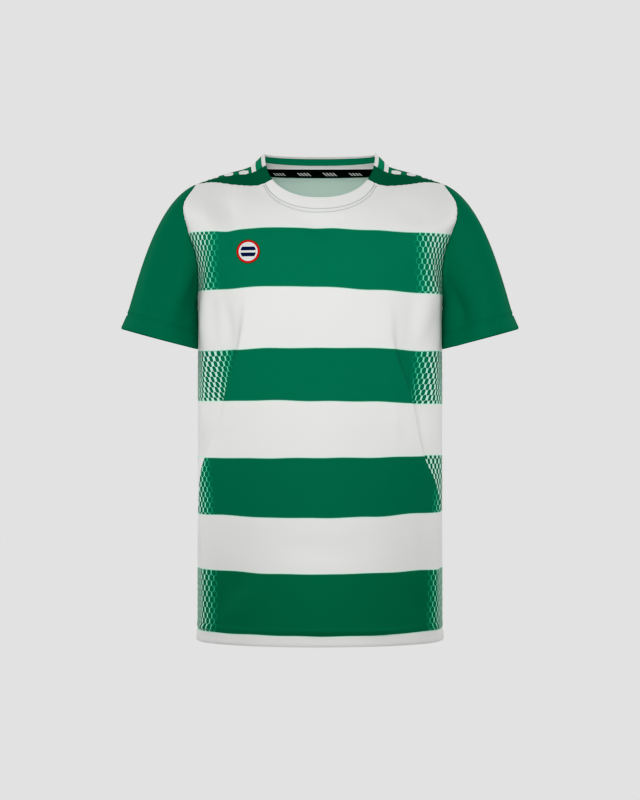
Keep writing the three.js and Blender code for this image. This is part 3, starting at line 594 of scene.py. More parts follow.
def seam_dip(points, edges, depth=0.55, reach=1.7):
    """How far the cloth sinks into the seams along the named rims."""
    dip = np.zeros(points.shape[:2])
    for edge in edges:
        dip = np.maximum(dip, depth * bump(rim_distance(points, edge), reach))
    return dip


def dress(piece, node):
    """Lets a cloth piece stand for its solid."""
    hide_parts(node)
    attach(piece, "root")
    return piece


# Horizontal lengths of the folded cloth, by level and angle from the panel's centre line. The height
# of a level is read at one of the angles, near the fade
LENGTH_LEVELS = np.linspace(0, 2, 121)
LENGTH_ANGLES = np.linspace(0, 90, 241)
HEIGHT_ANGLE_NUMBER = 140
HOOP_MARGIN = 3


def length_table(front, sign):
    """Length round the cloth from the centre line, for each level and angle."""
    angles = sign * LENGTH_ANGLES if front else 180 - sign * LENGTH_ANGLES
    points, _ = cloth_point(angles[None, :], LENGTH_LEVELS[:, None])
    steps = np.linalg.norm(np.diff(points[..., :2], axis=1), axis=-1)
    return np.concatenate((np.zeros((len(LENGTH_LEVELS), 1)), np.cumsum(steps, 1)), 1)


def read_table(table, from_centre, level):
    """Bilinear reading of a length table."""
    a = np.clip(from_centre / 90 * (len(LENGTH_ANGLES) - 1), 0, len(LENGTH_ANGLES) - 1.001)
    b = np.clip(level / 2 * (len(LENGTH_LEVELS) - 1), 0, len(LENGTH_LEVELS) - 1.001)
    i, j = a.astype(int), b.astype(int)
    fa, fb = a - i, b - j
    low = lerp(table[j, i], table[j, i + 1], fa)
    high = lerp(table[j + 1, i], table[j + 1, i + 1], fa)
    return lerp(low, high, fb)


def fade_start(front, sign, table):
    """Length round the cloth at which the fade starts, for each level of a length table."""
    angles = sign * LENGTH_ANGLES if front else 180 - sign * LENGTH_ANGLES
    side = "fade_left" if sign > 0 else "fade_right"
    heights, reaches = [], []
    for hoop in reversed(HOOPS):
        top, bottom = hoop[side]
        heights += [hoop["bottom"] - HOOP_MARGIN, hoop["top"] + HOOP_MARGIN]
        reaches += [bottom, top]
    starts = []
    for row, level in enumerate(LENGTH_LEVELS):
        points = plain_point(angles, np.full_like(angles, level))
        reach = np.interp(points[HEIGHT_ANGLE_NUMBER, 2], heights, reaches)
        starts.append(np.interp(reach, np.maximum.accumulate(np.abs(points[:, 0])), table[row]))
    return np.array(starts)


def print_drift(front, x, height):
    """How far the print hangs below its even height."""
    heights, rows = [], []
    for number, hoop in reversed(list(enumerate(HOOPS))):
        heights += [hoop["bottom"], hoop["top"]]
        rows += [PRINT_DRIFT[2 * number + 1], PRINT_DRIFT[2 * number]]
    rows = np.array(rows)
    if not front:
        rows[:, 1:4] = rows[:, 1:4] * BACK_DRIFT
    t = (np.clip(x, -DRIFT_REACH, DRIFT_REACH) + DRIFT_REACH) / (DRIFT_REACH / 2)
    i = np.minimum(t.astype(int), 3)
    f = smooth(0, 1, t - i)
    columns = np.stack([np.interp(height, heights, rows[:, k]) for k in range(5)], -1)
    low = np.take_along_axis(columns, i[..., None], -1)[..., 0]
    high = np.take_along_axis(columns, i[..., None] + 1, -1)[..., 0]
    return lerp(low, high, f)


def print_map(front, angle, level):
    """Where the print falls: length from the centre line, height, and depth into the fade."""
    turned = angle if front else 180 - angle
    turned = np.broadcast_to(turned, np.broadcast(angle, level).shape)
    level = np.broadcast_to(level, turned.shape)
    along = np.zeros(turned.shape)
    fade = np.zeros(turned.shape)
    for name, sign in SIDES:
        fold = ("front_" if front else "back_") + name
        table = length_table(front, sign)
        here = turned * sign >= 0
        length = read_table(table, np.abs(turned), level)
        distance = (np.abs(turned) - drape_at(DRAPES[fold], 1, level)) * DRAPE_MM_PER_DEGREE
        tucked = np.interp(level, *zip(*TUCKED[fold])) * smooth(*TUCK_SETS_IN, distance)
        start = np.interp(level, LENGTH_LEVELS, fade_start(front, sign, table))
        along = np.where(here, sign * (length + tucked), along)
        fade = np.where(here, length + tucked - start, fade)
    plain = plain_point(angle, level)
    height = plain[..., 2] + print_drift(front, plain[..., 0], plain[..., 2])
    slow_ripple = 0.3 * np.sin(along / 17 + 1.3) * np.sin(along / 41 + height / 90)
    quick_ripple = 0.2 * np.sin(along / 9.5 + height / 33)
    return along, height + slow_ripple + quick_ripple, fade


# Cloth pieces

def hem_profile(height, depth, along, ridge_height, ridge_wide):
    """Lift near a turned-up hem: rolled edge, flared pad, groove, and an uneven ridge above it."""
    rolled = HEM["pad"] - HEM["roll"] * (1 - smooth(0, HEM["roll_reach"], height))
    pad = rolled * (1 - smooth(depth - 2.5, depth - 0.5, height))
    groove = -HEM["groove"] * bump(height - depth, HEM["groove_reach"])
    uneven = 0.75 + 0.25 * np.sin(along / 37 + 0.6) + 0.2 * np.sin(along / 13.5 + 2.1)
    ridge = ridge_height * uneven * bump(height - depth - 1.3 * ridge_wide, ridge_wide)
    flare = HEM["flare"] * np.maximum(depth - height, 0)
    return pad + groove + ridge + flare


def seam_pucker(points, edges, depth=0.3, wave=8.5):
    """Small puckers that a sewn seam draws into the cloth beside it."""
    lift = np.zeros(points.shape[:2])
    for edge in edges:
        across = rim_distance(points, edge)
        if edge in ("top", "bottom"):
            along = rim_distance(points, "left")
        else:
            along = rim_distance(points, "bottom")
        wander = along + 2.5 * np.sin(along / 19) + 1.5 * np.sin(along / 7 + 2)
        lift += depth * np.sin(2 * np.pi * wander / wave) * bump(across, 7)
    return lift


# Points and directions out of the finished pieces, for the stitches on them
SURFACES = {}


def side_distance(points):
    """Distance of each grid point from the nearer side rim."""
    return np.minimum(rim_distance(points, "left"), rim_distance(points, "right"))


def body_panel(name, front, material, inside):
    """The front or the back panel, from the hem to its upper seams."""
    steps = ARMHOLE_FRONT_STEPS if front else ARMHOLE_BACK_STEPS
    columns = finer(COLUMNS, COLUMNS_A_STEP)
    upper_rows = finer(steps, UPPER_ROWS_A_STEP, False)
    side_rows = np.linspace(1, SIDE_STEPS, (SIDE_STEPS - 1) * SIDE_ROWS_A_STEP + 1)[:-1]
    lower_level = side_level(merged(HEM_ROWS, side_rows))[:, None]
    lower = body_column(front, columns[None, :], lower_level)
    if front:
        def edge(side):
            return lambda r: armhole_place(side, lerp(180, ARMHOLE_CORNERS["front"], r / steps))
        left, right, top = edge(-1), edge(1), front_top
    else:
        def left(r):
            return armhole_place(1, lerp(-180, ARMHOLE_CORNERS["back"], r / steps))

        def right(r):
            angle, level = left(r)
            return 360 - angle, level
        top = back_top

    def bottom(c):
        return body_column(front, c, np.ones_like(c)), np.ones_like(c)
    upper_angle, upper_level = patch(bottom, top, left, right, columns, upper_rows, COLUMNS, steps)
    angle = np.concatenate((lower, upper_angle))
    level = np.concatenate((np.broadcast_to(lower_level, lower.shape), upper_level))
    points, normals = cloth_point(angle, level, True)
    along, height, fade = print_map(front, angle, level)
    inward = smooth(BODY_RIDGE["starts"], BODY_RIDGE["full"], side_distance(points))
    ridge_height = BODY_RIDGE["at_sides"] + BODY_RIDGE["more_inside"] * inward
    above_hem = plain_point(angle, level)[..., 2] - HEM_Z
    lift = hem_profile(above_hem, BODY_HEM_DEPTH, along, ridge_height, BODY_RIDGE["wide"])
    seams = ("top", "left", "right")
    lift = lift - seam_dip(points, seams) + seam_pucker(points, seams)
    points = points + normals * lift[..., None]
    SURFACES[name] = (points, normals)
    beside_armhole = np.arange(len(points))[:, None] >= len(lower)
    from_armhole = np.where(beside_armhole, side_distance(points), FAR_FROM_RIM)
    piece = grid_mesh(name + "_cloth", points, (along, height), (("fade", fade), ("rim", from_armhole)))
    thicken(piece, CLOTH, material, inside)
    return dress(piece, name)


def shoulder_grid(side, front_edge, back_edge, columns, rows, turns):
    """Angle and level over a piece that runs out along the shoulder."""
    first, second = (front_edge, back_edge) if side > 0 else (back_edge, front_edge)
    ends = turns if side > 0 else turns[::-1]

    def left(r):
        return first(1 - r / SEAM_STEPS)

    def right(r):
        return second(1 - r / SEAM_STEPS)

    def bottom(c):
        return armhole_place(side, lerp(ends[0], ends[1], c))

    def top(c):
        a, b = first(0.0), second(0.0)
        return lerp(a[0], b[0], c), lerp(a[1], b[1], c)
    return patch(bottom, top, left, right, columns, rows, 1, SEAM_STEPS)


def shoulder_piece(name, side, front_edge, back_edge, turns, material, inside):
    """A piece that runs out along the shoulder between two seams."""
    columns = merged(np.linspace(0, 1, 13), (0.02, 0.05, 0.95, 0.98))
    rows = finer(SEAM_STEPS, STRIP_ROWS_A_STEP)
    angle, level = shoulder_grid(side, front_edge, back_edge, columns, rows, turns)
    points, normals = cloth_point(angle, level, True)
    outward = rim_distance(points, "top")
    across = rim_distance(points, "left" if side > 0 else "right")
    seams = ("top", "bottom", "left", "right")
    lift = seam_pucker(points, seams, 0.25) - seam_dip(points, seams)
    points = points + normals * lift[..., None]
    SURFACES[name] = (points, normals)
    piece = grid_mesh(name + "_cloth", points, (outward, across))
    thicken(piece, CLOTH, material, inside)
    return dress(piece, name)


def shoulder_front(name, side, material, inside):
    """Dark inset in front of the shoulder seam."""
    return shoulder_piece(name, side, lambda t: front_seam(side, t), lambda t: middle_seam(side, t),
                          (ARMHOLE_CORNERS["front"], ARMHOLE_CORNERS["shoulder"]), material, inside)


def shoulder_back(name, side, material, inside):
    """Green strip behind the shoulder seam."""
    return shoulder_piece(name, side, lambda t: middle_seam(side, lerp(COLLAR_START, 1, t)),
                          lambda t: back_seam(side, t),
                          (ARMHOLE_CORNERS["shoulder"], ARMHOLE_CORNERS["back"]), material, inside)


def neckband_front(material, inside):
    """White band along the front of the neck."""
    reach = abs(front_seam(1, NECKBAND_CORNER)[0])

    def bottom(c):
        angle = lerp(-reach, reach, c)
        return angle, neckband_level(angle)

    def top(c):
        return lerp(-FRONT_SEAM["angle"], FRONT_SEAM["angle"], c), 2 + 0 * c

    def end(side):
        return lambda r: front_seam(side, lerp(NECKBAND_CORNER, 0, r))
    columns = np.linspace(0, 1, 121)
    rows = np.array([0, 0.04, 0.09, 0.16, 0.28, 0.4, 0.52, 0.64, 0.76, 0.86, 0.93, 1])
    angle, level = patch(bottom, top, end(-1), end(1), columns, rows, 1, 1)
    points, normals = cloth_point(angle, level, True)
    height = rim_distance(points, "bottom")
    pad = 0.45 * smooth(0.5, 3, height) + 0.25 * smooth(4, 12, height)
    points = points + normals * (pad - seam_dip(points, ("bottom", "left", "right")))[..., None]
    SURFACES["neckband_front"] = (points, normals)
    piece = grid_mesh("neckband_front_cloth", points, (rim_distance(points, "left"), height))
    thicken(piece, CLOTH + 0.5, material, inside, 0.6)
    return dress(piece, "neckband_front")


def collar_back(material, inside):
    """Ribbed half collar round the back of the neck."""
    def bottom(c):
        return collar_seam_angle(c), COLLAR_LEVEL + 0 * c

    def top(c):
        foot = collar_seam_angle(0)
        share = (collar_seam_angle(c) - foot) / (360 - 2 * foot)
        return lerp(SHOULDER_SEAM["angle"], 360 - SHOULDER_SEAM["angle"], share), 2 + 0 * c

    def left(r):
        return middle_seam(1, lerp(COLLAR_START, 0, r))

    def right(r):
        angle, level = left(r)
        return 360 - angle, level
    columns = np.linspace(0, COLLAR_STEPS, 201)
    rows = np.array([0, 0.03, 0.07, 0.12, 0.2, 0.3, 0.4, 0.5, 0.6, 0.7, 0.8, 0.88, 0.94, 1])
    angle, level = patch(bottom, top, left, right, columns, rows, COLLAR_STEPS, 1)
    points, normals = cloth_point(angle, level)
    height = rim_distance(points, "bottom")
    pad = 0.3 + 0.5 * smooth(0.5, 3, height)
    points = points + normals * (pad - seam_dip(points, ("bottom", "left", "right")))[..., None]
    SURFACES["collar_back"] = (points, normals)
    piece = grid_mesh("collar_back_cloth", points,
                      (rim_distance(points, "left"), rim_distance(points, "top")))
    thicken(piece, RIB_CLOTH, material, inside, 0.8)
    return dress(piece, "collar_back")


def neck_tape(material):
    """Black tape over the collar seam, inside the back of the neck."""
    columns = np.linspace(TAPE["start"], COLLAR_STEPS - TAPE["start"], 161)
    levels = np.linspace(TAPE["low"], TAPE["high"], 7)
    points, normals = cloth_point(collar_seam_angle(columns)[None, :], levels[:, None])
    crown = 0.35 * np.sin(np.linspace(0, np.pi, 7))[:, None]
    points = points - normals * (TAPE["inset"] + crown)[..., None]
    piece = grid_mesh("neck_tape_cloth", points,
                      (rim_distance(points, "left"), rim_distance(points, "bottom")))
    thicken(piece, TAPE_CLOTH, material, material, 0.25)
    return dress(piece, "neck_tape")


def sleeve_fold_lift(side, turn, share):
    """How far a sleeve's folds lift the cloth."""
    lift = np.zeros(np.broadcast(turn, share).shape)
    for fold_side, (a0, a1), (s0, s1), height, wide in SLEEVE_FOLDS + FINE_SLEEVE_FOLDS:
        if fold_side != side:
            continue
        t = np.clip((share - s0) / (s1 - s0), 0, 1)
        lift = lift + height * np.sin(np.pi * t) * bump(turn - lerp(a0, a1, t), wide)
    return lift


def sleeve_point(side, turn, share):
    """A point of a sleeve before folds: a smooth run from the armhole out to the cuff."""
    turn, share = np.broadcast_arrays(np.asarray(turn, float), np.asarray(share, float))
    start, normal = cloth_point(*armhole_place(side, turn[:1]))
    under = (1 - np.cos(np.radians(turn))) / 2
    forward = np.sin(np.radians(turn))
    tilt = math.radians(CUFF["tilt"])
    across = CUFF["half_wide"] * np.cos(np.radians(turn))
    end = np.stack((side * (CUFF["x"] + across * math.cos(tilt)),
                    CUFF["y"] - CUFF["half_deep"] * forward,
                    CUFF["z"] + across * math.sin(tilt)), -1)
    start_pull = lerp(SLEEVE_PULL["arm_top"], SLEEVE_PULL["arm_under"], under ** 0.8)
    end_pull = lerp(SLEEVE_PULL["cuff_top"], SLEEVE_PULL["cuff_under"], under)
    leave = unit(np.stack((side * lerp(0.93, 0.16, under ** 1.4), -0.3 * forward,
                           lerp(-0.366, -0.95, under)), -1)) * start_pull[..., None]
    lean = math.radians(SLEEVE_LEAN) * (1 - under)
    arrive = np.stack((side * np.sin(lean), 0 * lean, -np.cos(lean)), -1) * end_pull[..., None]
    t = share[..., None]
    point = (start * (2 * t ** 3 - 3 * t ** 2 + 1) + leave * (t ** 3 - 2 * t ** 2 + t)
             + end * (3 * t ** 2 - 2 * t ** 3) + arrive * (t ** 3 - t ** 2))
    return point, normal


def sleeve(name, side, material, inside):
    """A sleeve, from the armhole to the turned-up cuff."""
    turns = np.linspace(180, -180, SLEEVE_COLUMNS)[None, :]
    turns = turns if side > 0 else turns[:, ::-1]
    shares = SLEEVE_ROWS[::-1, None]
    step = 0.01
    point, body_normal = sleeve_point(side, turns, shares)
    along = (sleeve_point(side, turns, np.minimum(1, shares + step))[0]
             - sleeve_point(side, turns, np.maximum(0, shares - step))[0])
    around = sleeve_point(side, turns + 2, shares)[0] - sleeve_point(side, turns - 2, shares)[0]
    normal = unit(np.cross(around, along)) * side
    shared = (1 - shares) ** 6 * smooth(-0.3, 0.5, np.cos(np.radians(turns)))
    normal = unit(lerp(normal, body_normal, shared[..., None]))
    lift = sleeve_fold_lift(side, turns, shares)
    from_cuff = rim_distance(point, "bottom")
    round_cuff = rim_distance(point, "left")
    lift = lift + hem_profile(from_cuff, SLEEVE_HEM_DEPTH, round_cuff, CUFF_RIDGE["height"],
                              CUFF_RIDGE["wide"])
    lift = lift - seam_dip(point, ("top",)) + seam_pucker(point, ("top",), 0.35, 10.5)
    point = point + normal * lift[..., None]
    SURFACES[name] = (point, normal)
    piece = grid_mesh(name + "_cloth", point, (rim_distance(point, "left"), from_cuff), closed=True)
    thicken(piece, CLOTH, material, inside)
    return dress(piece, name)


# Materials

def srgb(r, g, b):
    """A colour as it shows on a screen, from 0 to 255, as linear light."""
    def one(value):
        value /= 255
        return value / 12.92 if value <= 0.04045 else ((value + 0.055) / 1.055) ** 2.4
    return one(r), one(g), one(b), 1.0


class Nodes:
    """Short ways to add nodes to one node tree."""

    def __init__(self, tree):
        self.tree = tree

    def add(self, kind, **settings):
        """A node with some of its settings."""
        node = self.tree.nodes.new(kind)
        for key, value in settings.items():
            setattr(node, key, value)
        return node

    def put(self, socket, value):
        """Links a socket or sets its value."""
        if isinstance(value, bpy.types.NodeSocket):
            self.tree.links.new(value, socket)
        else:
            socket.default_value = value

    def math(self, operation, *values):
        """A math node's result."""
        node = self.add("ShaderNodeMath", operation=operation)
        for socket, value in zip(node.inputs, values):
            self.put(socket, value)
        return node.outputs[0]

    def mix(self, factor, a, b):
        """Two colours mixed."""
        node = self.add("ShaderNodeMix", data_type="RGBA")
        self.put(node.inputs["Factor"], factor)
        self.put(node.inputs[6], a)
        self.put(node.inputs[7], b)
        return node.outputs[2]

    def within(self, value, low, high):
        """1 between two values."""
        return self.math("MULTIPLY", self.math("GREATER_THAN", value, low),
                         self.math("LESS_THAN", value, high))

    def ramp(self, value, low, high, start=0.0, end=1.0):
        """A smooth step between two values."""
        node = self.add("ShaderNodeMapRange", interpolation_type="SMOOTHSTEP")
        for socket, number in zip(node.inputs, (value, low, high, start, end)):
            self.put(socket, number)
        return node.outputs[0]

    def reach(self, x, y):
        """Distance from the middle of a plane."""
        return self.math("SQRT", self.math("ADD", self.math("MULTIPLY", x, x),
                                           self.math("MULTIPLY", y, y)))

    def split(self, vector):
        """The parts of a vector."""
        node = self.add("ShaderNodeSeparateXYZ")
        self.put(node.inputs[0], vector)
        return node.outputs[0], node.outputs[1], node.outputs[2]

    def print_place(self, uv):
        """Both coordinates of the print map, in millimetres."""
        x, y, _ = self.split(uv)
        return self.math("MULTIPLY", x, 1000), self.math("MULTIPLY", y, 1000)


def empty_tree(owner):
    """The emptied node tree of a new material or world."""
    owner.use_nodes = True
    owner.node_tree.nodes.clear()
    return Nodes(owner.node_tree)


def new_group(name, inputs, outputs):
    """A shader node group with named inputs and outputs: (group, nodes, input node, output node)."""
    group = bpy.data.node_groups.new(name, "ShaderNodeTree")
    for label, kind, value in inputs:
        socket = group.interface.new_socket(label, in_out="INPUT", socket_type=kind)
        socket.default_value = value
    for label, kind in outputs:
        group.interface.new_socket(label, in_out="OUTPUT", socket_type=kind)
    nodes = Nodes(group)
    return group, nodes, nodes.add("NodeGroupInput"), nodes.add("NodeGroupOutput")


def knit_group():
    """Height and shade of knitted loops, from a place on the cloth in metres."""
    group, n, given, result = new_group(
        "knit_loops",
        (("Place", "NodeSocketVector", (0, 0, 0)), ("Wale", "NodeSocketFloat", 0.9),
         ("Course", "NodeSocketFloat", 0.7)),
        (("Height", "NodeSocketFloat"), ("Shade", "NodeSocketFloat")))
    x, y, _ = n.split(given.outputs["Place"])
    wale = n.math("DIVIDE", n.math("MULTIPLY", x, 1000), given.outputs["Wale"])
    course = n.math("DIVIDE", n.math("MULTIPLY", y, 1000), given.outputs["Course"])
    from_rib = n.math("ABSOLUTE", n.math("SUBTRACT", n.math("FRACT", wale), 0.5))
    chevron = n.math("SINE", n.math("MULTIPLY", n.math("ADD", course, from_rib), 2 * math.pi))
    rib = n.math("COSINE", n.math("MULTIPLY", n.math("MULTIPLY", from_rib, 2), math.pi))
    height = n.math("ADD", n.math("MULTIPLY", chevron, 0.35), n.math("MULTIPLY", rib, 0.65))
    n.put(result.inputs["Height"], height)
    n.put(result.inputs["Shade"], n.ramp(height, -1, 1))
    return group


def tone_group():
    """Soft, slow unevenness of dyed cloth, from Object coordinates."""
    group, n, given, result = new_group(
        "cloth_tone", (("Place", "NodeSocketVector", (0, 0, 0)),),
        (("Tone", "NodeSocketFloat"), ("Fine", "NodeSocketFloat")))
    slow = n.add("ShaderNodeTexNoise")
    slow.inputs["Scale"].default_value = 9
    slow.inputs["Detail"].default_value = 3
    n.put(slow.inputs["Vector"], given.outputs["Place"])
    fine = n.add("ShaderNodeTexNoise")
    fine.inputs["Scale"].default_value = 900
    fine.inputs["Detail"].default_value = 2
    n.put(fine.inputs["Vector"], given.outputs["Place"])
    n.put(result.inputs["Tone"], slow.outputs["Fac"])
    n.put(result.inputs["Fine"], fine.outputs["Fac"])
    return group


KNIT = knit_group()
TONE = tone_group()


def cloth_material(name, paint, wale=0.9, course=0.7, relief=0.5, roughness=0.66,
                   gloss_tint=(1, 1, 1, 1)):
    """A knitted cloth. paint makes the colour from the nodes and the print map."""
    material = bpy.data.materials.new(name)
    n = empty_tree(material)
    shader = n.add("ShaderNodeBsdfPrincipled")
    n.put(n.add("ShaderNodeOutputMaterial").inputs["Surface"], shader.outputs[0])
    uv = n.add("ShaderNodeUVMap", uv_map="print").outputs[0]
    knit = n.add("ShaderNodeGroup", node_tree=KNIT)
    n.put(knit.inputs["Place"], uv)
    knit.inputs["Wale"].default_value = wale
    knit.inputs["Course"].default_value = course
    tone = n.add("ShaderNodeGroup", node_tree=TONE)
    n.put(tone.inputs["Place"], n.add("ShaderNodeTexCoord").outputs["Object"])
    colour = paint(n, uv)
    uneven = n.math("ADD", 0.97, n.math("MULTIPLY", tone.outputs["Tone"], 0.06))
    # The loops' tops lighter and the hollows between them darker: painted shade of the knit
    knit_shade = n.math("ADD", 0.965, n.math("MULTIPLY", knit.outputs["Shade"], 0.05))
    scaled = n.add("ShaderNodeMix", data_type="RGBA", blend_type="MULTIPLY")
    scaled.inputs["Factor"].default_value = 1
    n.put(scaled.inputs[6], colour)
    grey = n.add("ShaderNodeCombineColor")
    for socket in grey.inputs[:3]:
        n.put(socket, n.math("MULTIPLY", uneven, knit_shade))
    n.put(scaled.inputs[7], grey.outputs[0])
    n.put(shader.inputs["Base Color"], scaled.outputs[2])
    n.put(shader.inputs["Roughness"],
          n.math("ADD", roughness - 0.03, n.math("MULTIPLY", tone.outputs["Fine"], 0.06)))
    shader.inputs["Sheen Weight"].default_value = 0.015
    shader.inputs["Sheen Roughness"].default_value = 0.4
    shader.inputs["Sheen Tint"].default_value = gloss_tint
    shader.inputs["Specular Tint"].default_value = gloss_tint
    shader.inputs["Specular IOR Level"].default_value = 0.12
    bumps = n.add("ShaderNodeBump")
    bumps.inputs["Strength"].default_value = relief
    bumps.inputs["Distance"].default_value = 0.12 * MM
    n.put(bumps.inputs["Height"], knit.outputs["Height"])
    n.put(shader.inputs["Normal"], bumps.outputs[0])
    return material


# Dyes, and the hoops' greens from the top down, which grow darker downwards as painted shade where less
# light falls; the mint ones are where green thins out
WHITE = srgb(236, 236, 234)
HOOP_GREENS_SHADED_DOWN = (srgb(0, 113, 79), srgb(0, 108, 75), srgb(0, 102, 70), srgb(0, 99, 64))
MINT = srgb(98, 230, 184)
NET_WHITE = srgb(204, 240, 226)
RIM_MINT = srgb(196, 246, 224)
SLEEVE_GREEN = srgb(0, 104, 71)
INSET_GREEN = srgb(0, 82, 53)
STRIP_GREEN = srgb(0, 112, 76)
RIB_GREEN = srgb(0, 127, 87)
SLEEVE_REVERSE = srgb(60, 128, 100)
INSET_REVERSE = srgb(50, 112, 86)
REVERSE_WHITE = srgb(216, 240, 229)
REVERSE_GREEN = srgb(124, 184, 161)

# What green cloth adds to the light that glances off it, and how dull the inner faces are
GREEN_TINT = srgb(60, 235, 175)
REVERSE_ROUGHNESS = 0.75

# Hexagon net of the fade, in millimetres: half widths of its lines, and depths into the fade
NET = {"pitch": 7.65, "upright": 0.52, "growth": 0.04, "grows_to": 30, "closes": (92, 112),
       "closed": 2.4, "slanted": 0.27, "slanted_growth": 0.001, "edge": 0.12,
       "appears": (-3, 12), "mint_to_pale": (2, 30), "pale_to_white": (60, 90)}

# Rims of the hoops and the armholes: where they fade out, and a rim's strength on white and on green
HOOP_RIM = {"fades": (0.3, 1.7), "on_white": 0.85, "on_green": 0.12}
ARMHOLE_RIM = (0.9, 1.5)

# Prints of the shoulder strip and the neck tape, in millimetres
MOTIF = {"pitch": 20.0, "half": 6.2, "middle": 4.6, "edge": 0.15}
STROKES = {"lean": 0.35, "pitch": 34.0, "first": 8.0, "last": 25.0, "apart": 4.25, "share": 0.62,
           "low": 2.6, "high": 7.4}

# Chest patch: its middle in the front view, its size, and its bands and rings from the middle out
BADGE = {"x": -88.5, "z": -108.5, "radius": 14.5, "lift": 0.9, "thickness": 0.8, "rings": 14,
         "spokes": 48, "band_middle": 3.7, "band_half": (2.1, 2.4), "bands_end": (9.4, 9.7),
         "rim_starts": (11.6, 11.9)}


def hexagon_share(n, x, y, upright, slanted):
    """1 on the lines of a net of upright hexagons; the two line widths differ."""
    pitch = NET["pitch"]
    tall = pitch * math.sqrt(3)
    found = []
    for shift in (0.0, 0.5):
        parts = []
        for value, period in ((x, pitch), (y, tall)):
            turned = n.math("ADD", n.math("DIVIDE", value, period), 100.5 + shift)
            parts.append(n.math("MULTIPLY", n.math("SUBTRACT", n.math("FRACT", turned), 0.5), period))
        size = n.math("ADD", n.math("MULTIPLY", parts[0], parts[0]),
                      n.math("MULTIPLY", parts[1], parts[1]))
        found.append((parts, size))
    first = n.math("LESS_THAN", found[0][1], found[1][1])
    local = []
    for axis in (0, 1):
        both = n.add("ShaderNodeMix", data_type="FLOAT")
        n.put(both.inputs["Factor"], first)
        n.put(both.inputs[2], n.math("ABSOLUTE", found[1][0][axis]))
        n.put(both.inputs[3], n.math("ABSOLUTE", found[0][0][axis]))
        local.append(both.outputs[0])
    to_upright = n.math("SUBTRACT", pitch / 2, local[0])
    reach = n.math("ADD", n.math("MULTIPLY", local[0], 0.5),
                   n.math("MULTIPLY", local[1], math.sqrt(3) / 2))
    to_slanted = n.math("SUBTRACT", pitch / 2, reach)
    on_line = [n.ramp(n.math("SUBTRACT", half, distance), -NET["edge"], NET["edge"])
               for half, distance in ((upright, to_upright), (slanted, to_slanted))]
    return n.math("MAXIMUM", *on_line)


def edge_glow(n, y):
    """1 along the rims of the hoops, where the dye of the print thins out."""
    glow = 0.0
    for hoop in HOOPS:
        for edge in ("top", "bottom"):
            distance = n.math("ABSOLUTE", n.math("SUBTRACT", y, hoop[edge]))
            glow = n.math("ADD", glow, n.ramp(distance, *HOOP_RIM["fades"], 1.0, 0.0))
    return glow


def body_paint(n, uv):
    """White with four green hoops that break up into hexagons towards the sides."""
    x, y = n.print_place(uv)
    fade = n.add("ShaderNodeAttribute", attribute_name="fade").outputs["Fac"]
    # Each lower hoop takes a darker green: painted shade for the light that falls off down the body
    green, hoop_mask = HOOP_GREENS_SHADED_DOWN[0], 0.0
    for number, hoop in enumerate(HOOPS):
        hoop_mask = n.math("ADD", hoop_mask, n.within(y, hoop["bottom"], hoop["top"]))
        if number:
            halfway = (HOOPS[number - 1]["bottom"] + hoop["top"]) / 2
            green = n.mix(n.math("LESS_THAN", y, halfway), green, HOOP_GREENS_SHADED_DOWN[number])
    depth = n.math("MAXIMUM", fade, 0)
    near = n.math("MULTIPLY", n.math("MINIMUM", depth, NET["grows_to"]), NET["growth"])
    far = n.ramp(depth, *NET["closes"], 0.0, NET["closed"])
    upright = n.math("ADD", n.math("ADD", NET["upright"], near), far)
    slanted = n.math("ADD", NET["slanted"], n.math("MULTIPLY", depth, NET["slanted_growth"]))
    net = hexagon_share(n, x, y, upright, slanted)
    strength = n.ramp(fade, *NET["appears"])
    line = n.mix(n.ramp(depth, *NET["mint_to_pale"]), MINT, NET_WHITE)
    line = n.mix(n.ramp(depth, *NET["pale_to_white"]), line, WHITE)
    patterned = n.mix(n.math("MULTIPLY", net, strength), green, line)
    printed = n.mix(hoop_mask, WHITE, patterned)
    rim = n.add("ShaderNodeAttribute", attribute_name="rim").outputs["Fac"]
    printed = n.mix(n.ramp(rim, *ARMHOLE_RIM, 1.0, 0.0), printed, WHITE)
    glow = n.ramp(hoop_mask, 0, 1, HOOP_RIM["on_white"], HOOP_RIM["on_green"])
    return n.mix(n.math("MULTIPLY", edge_glow(n, y), glow), printed, RIM_MINT)


def plain_paint(colour):
    """One dye."""
    def paint(n, uv):
        rgb = n.add("ShaderNodeRGB")
        rgb.outputs[0].default_value = colour
        return rgb.outputs[0]
    return paint


def reverse_paint(n, uv):
    """The reverse of the body knit: pale, with the hoops showing through."""
    y = n.print_place(uv)[1]
    mask = 0.0
    for hoop in HOOPS:
        above = n.ramp(y, hoop["bottom"] - 0.6, hoop["bottom"] + 0.6)
        below = n.ramp(y, hoop["top"] - 0.6, hoop["top"] + 0.6, 1.0, 0.0)
        mask = n.math("ADD", mask, n.math("MULTIPLY", above, below))
    return n.mix(mask, REVERSE_WHITE, REVERSE_GREEN)


def stripes_paint(edges, colours):
    """Stripes parallel to the collar's top edge; edges are distances from it in millimetres."""
    def paint(n, uv):
        y = n.print_place(uv)[1]
        colour = colours[0]
        for edge, after in zip(edges, colours[1:]):
            colour = n.mix(n.ramp(y, edge - 0.15, edge + 0.15), colour, after)
        return colour
    return paint


def motif_paint(n, uv):
    """Green strip with a row of plain white hexagons."""
    x, y = n.print_place(uv)
    share = n.math("SUBTRACT", n.math("FRACT", n.math("DIVIDE", x, MOTIF["pitch"])), 0.5)
    local_x = n.math("ABSOLUTE", n.math("MULTIPLY", share, MOTIF["pitch"]))
    local_y = n.math("ABSOLUTE", n.math("SUBTRACT", y, MOTIF["middle"]))
    slanted = n.math("ADD", n.math("MULTIPLY", local_x, 0.5),
                     n.math("MULTIPLY", local_y, math.sqrt(3) / 2))
    reach = n.math("MAXIMUM", local_x, slanted)
    inside, outside = MOTIF["half"] - MOTIF["edge"], MOTIF["half"] + MOTIF["edge"]
    return n.mix(n.ramp(reach, inside, outside), WHITE, STRIP_GREEN)


